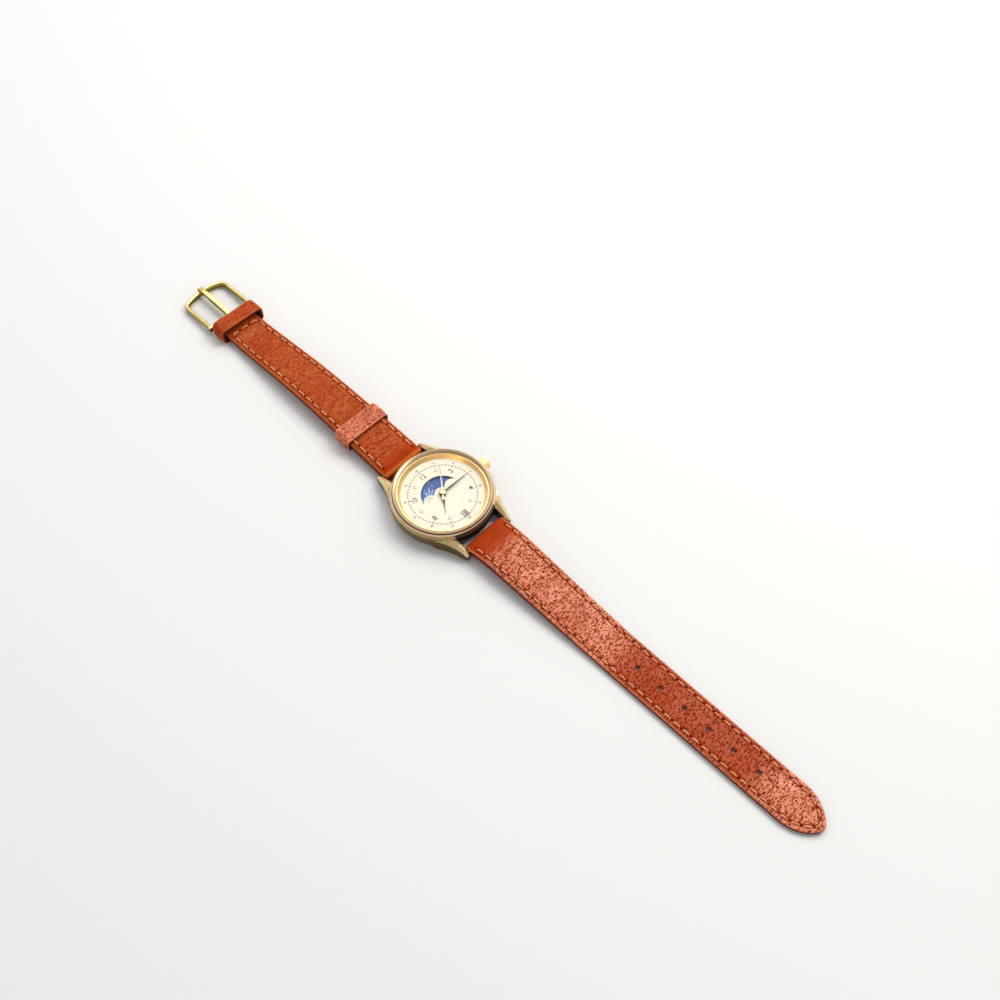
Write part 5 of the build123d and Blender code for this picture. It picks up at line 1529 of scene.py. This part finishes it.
# Moons, rays and stars
MOON_RADIUS = 1.75
MOON_PIN = 0.02
DISC_MARGIN = 0.3
RAY_START = 2.6
RAY_ENDS = (4.7, 5.4, 4.9, 5.7, 4.8, 5.5, 4.6, 4.9)
RAY_FIRST = 0.30
RAY_LAST = 2.05
RAY_LEAST = 0.015
RAY_HALF = 0.13
RAY_SWAY = 0.05
RAY_WAVE = 2.6
RAY_SWELL = 0.6
SCALLOPS = 14
SCALLOP_STEPS = 16
SCALLOP_RADIUS = 2.47
SCALLOP_RISE = 0.26
SCALLOP_WIDTH = 0.15
STAR_RADIUS = 0.22
STARS = ((0.30, 5.6), (0.36, 3.4), (0.42, 4.9), (0.30, 4.4))
moon_top = high("moon_disc").z
disc_reach = high("moon_disc").x - DISC_MARGIN


def in_view(place):
    """Whether a place lies on the part of the disc that the window can show."""
    return WINDOW_HUB + 0.1 < hypot(*place) < disc_reach


rays, moons, stars, rims = Pile(), Pile(), Pile(), Pile()
moon_print = (moon_top - PRINT_SUNK, moon_top + PRINT_RISE)
turns = np.linspace(0, 2 * pi, SCALLOP_STEPS * SCALLOPS + 1)[:-1]
scallop = SCALLOP_RADIUS + SCALLOP_RISE * np.abs(np.sin(SCALLOPS * turns / 2))
star_points = [STAR_RADIUS / 3, STAR_RADIUS] * 5
for turn in (0.0, pi):
    centre = (-LOBE_SIDE * cos(turn), LOBE_UP * cos(turn))
    rims.add(*band(
        round_outline(centre, scallop), round_outline(centre, scallop - SCALLOP_WIDTH), *moon_print
    ))
    for k, angle in enumerate(np.linspace(RAY_FIRST, RAY_LAST, len(RAY_ENDS)) + turn):
        shares = np.linspace(0, 1, 7)
        reach = RAY_START + shares * (RAY_ENDS[k] - RAY_START)
        sway = angle + RAY_SWAY * np.sin(RAY_WAVE * shares + k)
        line = np.column_stack([
            centre[0] + reach * np.cos(sway), centre[1] + reach * np.sin(sway)
        ])
        if all(in_view(p) for p in line):
            wide = RAY_LEAST + RAY_HALF * np.sin(pi * shares**RAY_SWELL)
            rays.add(*stroke(line, wide, *moon_print))
    moons.add(*hoop(
        MOON_PIN, MOON_RADIUS, moon_print[0], moon_top + 2 * PRINT_RISE, centre,
        steps=64, bevel=PRINT_RISE,
    ))
    for share, distance in STARS:
        way = 2 * pi * (share - 0.55) + turn
        spot = (distance * cos(way), distance * sin(way))
        stars.add(*prism(round_outline(spot, star_points), *moon_print))
for pile, name in (
    (rays, "moon_rays"), (rims, "moon_clouds"), (moons, "moon_plain_discs"), (stars, "moon_stars"),
):
    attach(pile.build(name, "date_white"), "moon_disc")

# Hands


def pointing(node):
    """Heading and length of a hand, from its point farthest from the axis."""
    tip = max(frame["nodes"][node].data.vertices, key=lambda v: hypot(v.co.x, v.co.y)).co
    return np.arctan2(tip.y, tip.x), hypot(tip.x, tip.y) / MM


def blade(stations, bottom, edge, ridge, heading):
    """Points and faces of a ridged blade over (reach, half width) stations."""
    points, faces = skin([
        [(reach, -half, bottom), (reach, half, bottom), (reach, half, edge),
         (reach, 0.0, ridge), (reach, -half, edge)]
        for reach, half in stations
    ])
    return turned(points, heading), faces


HAND_EDGE = 0.05
HAND_RIDGE = 0.11
HOUR_SHAPE = ((0.12, 0.26), (0.34, 0.34), (0.48, 0.22), (0.60, 0.10), (0.86, 0.06), (1.0, 0.03))
MINUTE_SHAPE = ((0.08, 0.24), (0.34, 0.29), (0.60, 0.21), (0.85, 0.11), (1.0, 0.03))
SECONDS_SHAPE = ((0.04, 0.20), (0.40, 0.16), (0.70, 0.085), (1.0, 0.05))
TAIL_SHAPE = ((0.4, 0.16), (1.4, 0.24), (2.1, 0.33), (2.34, 0.26))
BOSS = ((0.70, 0.10), (0.86, 0.12), (0.88, 0.17), (0.78, 0.24), (0.52, 0.29), (0.24, 0.31))
BOSS_STEPS = 64
HUB_BEVEL = 0.03
for node, body, shape, slot, hub in (
    ("hour_hand", "hours", HOUR_SHAPE, "hand_dark", (0.70, 1.0)),
    ("minute_hand", "minutes", MINUTE_SHAPE, "hand_dark", (0.46, 0.85)),
    ("seconds_hand", "seconds", SECONDS_SHAPE, "hand_pale", (0.12, 0.5)),
):
    heading, length = pointing(node)
    bottom = low(node).z
    pile = Pile()
    pile.add(*blade(
        [(share * length, half) for share, half in shape],
        bottom, bottom + HAND_EDGE, bottom + HAND_RIDGE, heading,
    ))
    pile.add(*hoop(*hub, bottom, bottom + HAND_RIDGE, steps=48, bevel=HUB_BEVEL))
    made = pile.build(node + "_blade", slot, 20.0)
    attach(made, body)
    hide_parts(node)
seconds_low = low("seconds_hand").z
seconds_heading = pointing("seconds_hand")[0]
boss = Pile()
boss.add(*blade(
    TAIL_SHAPE, seconds_low, seconds_low + HAND_EDGE, seconds_low + HAND_RIDGE, seconds_heading + pi
))
boss.add(*skin([
    [(x, y, seconds_low + height) for x, y in round_outline((0, 0), [radius] * BOSS_STEPS)]
    for radius, height in BOSS
]))
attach(boss.build("seconds_boss", "hand_gold"), "seconds")

# Floor, light and camera
floor_graph = Graph("pale_floor")
floor_grain = floor_graph.noise(floor_graph.place(), 0.9, 4.0, 0.6)
floor_graph.principled(
    floor_graph.mix(PALE, (floor_graph.times(floor_grain, 0.10), PALE_SHADE)),
    Roughness=0.85, Normal=floor_graph.bump(floor_grain, 0.02), Specular_IOR_Level=0.25,
)
floor_size = 2 * FLOOR_REACH * MM
corners = [(x, y, 0) for x, y in box_outline(floor_size, floor_size, (0, 0))]
floor_mesh = bpy.data.meshes.new("floor")
floor_mesh.from_pydata(corners, [], [(0, 1, 2, 3)])
floor_mesh.materials.append(materials["pale_floor"])
floor = link("floor", floor_mesh)

for name, heading, distance, size, radiance, colour in LAMPS:
    lamp = bpy.data.lights.new(name, "AREA")
    lamp.size = size * MM
    lamp.energy = radiance * pi * lamp.size**2
    lamp.color = colour
    source = link(name, lamp)
    source.location = Vector(heading).normalized() * distance * MM
    source.rotation_euler = Vector(heading).to_track_quat("Z", "Y").to_euler()

world = bpy.data.worlds.new("studio")
bpy.context.scene.world = world
sky = Graph("studio", world)
upward = sky.parts(sky.node("TexCoord").outputs["Generated"])[2]
tint = sky.mix(HORIZON, (sky.remap(upward, *SKY_FADE), ZENITH))
sky.surface(sky.node("Background", {"Color": tint}).outputs[0], "OutputWorld")

forward = Vector((
    -sin(CAMERA_HEADING) * cos(CAMERA_HEIGHT),
    cos(CAMERA_HEADING) * cos(CAMERA_HEIGHT),
    -sin(CAMERA_HEIGHT),
))
level_right = forward.cross(Vector((0, 0, 1))).normalized()
level_up = level_right.cross(forward)
right = cos(CAMERA_ROLL) * level_right + sin(CAMERA_ROLL) * level_up
up = -sin(CAMERA_ROLL) * level_right + cos(CAMERA_ROLL) * level_up
camera_data = bpy.data.cameras.new("camera")
camera_data.sensor_width = CAMERA_SENSOR
camera_data.lens = CAMERA_LENS
camera_data.clip_start = 0.01
camera = link("camera", camera_data)
place = (Vector(CAMERA_TARGET) - forward * CAMERA_DISTANCE) * MM
camera.matrix_world = Matrix.Translation(place) @ Matrix((right, up, -forward)).transposed().to_4x4()
bpy.context.scene.camera = camera
bpy.context.scene.view_settings.view_transform = "Standard"
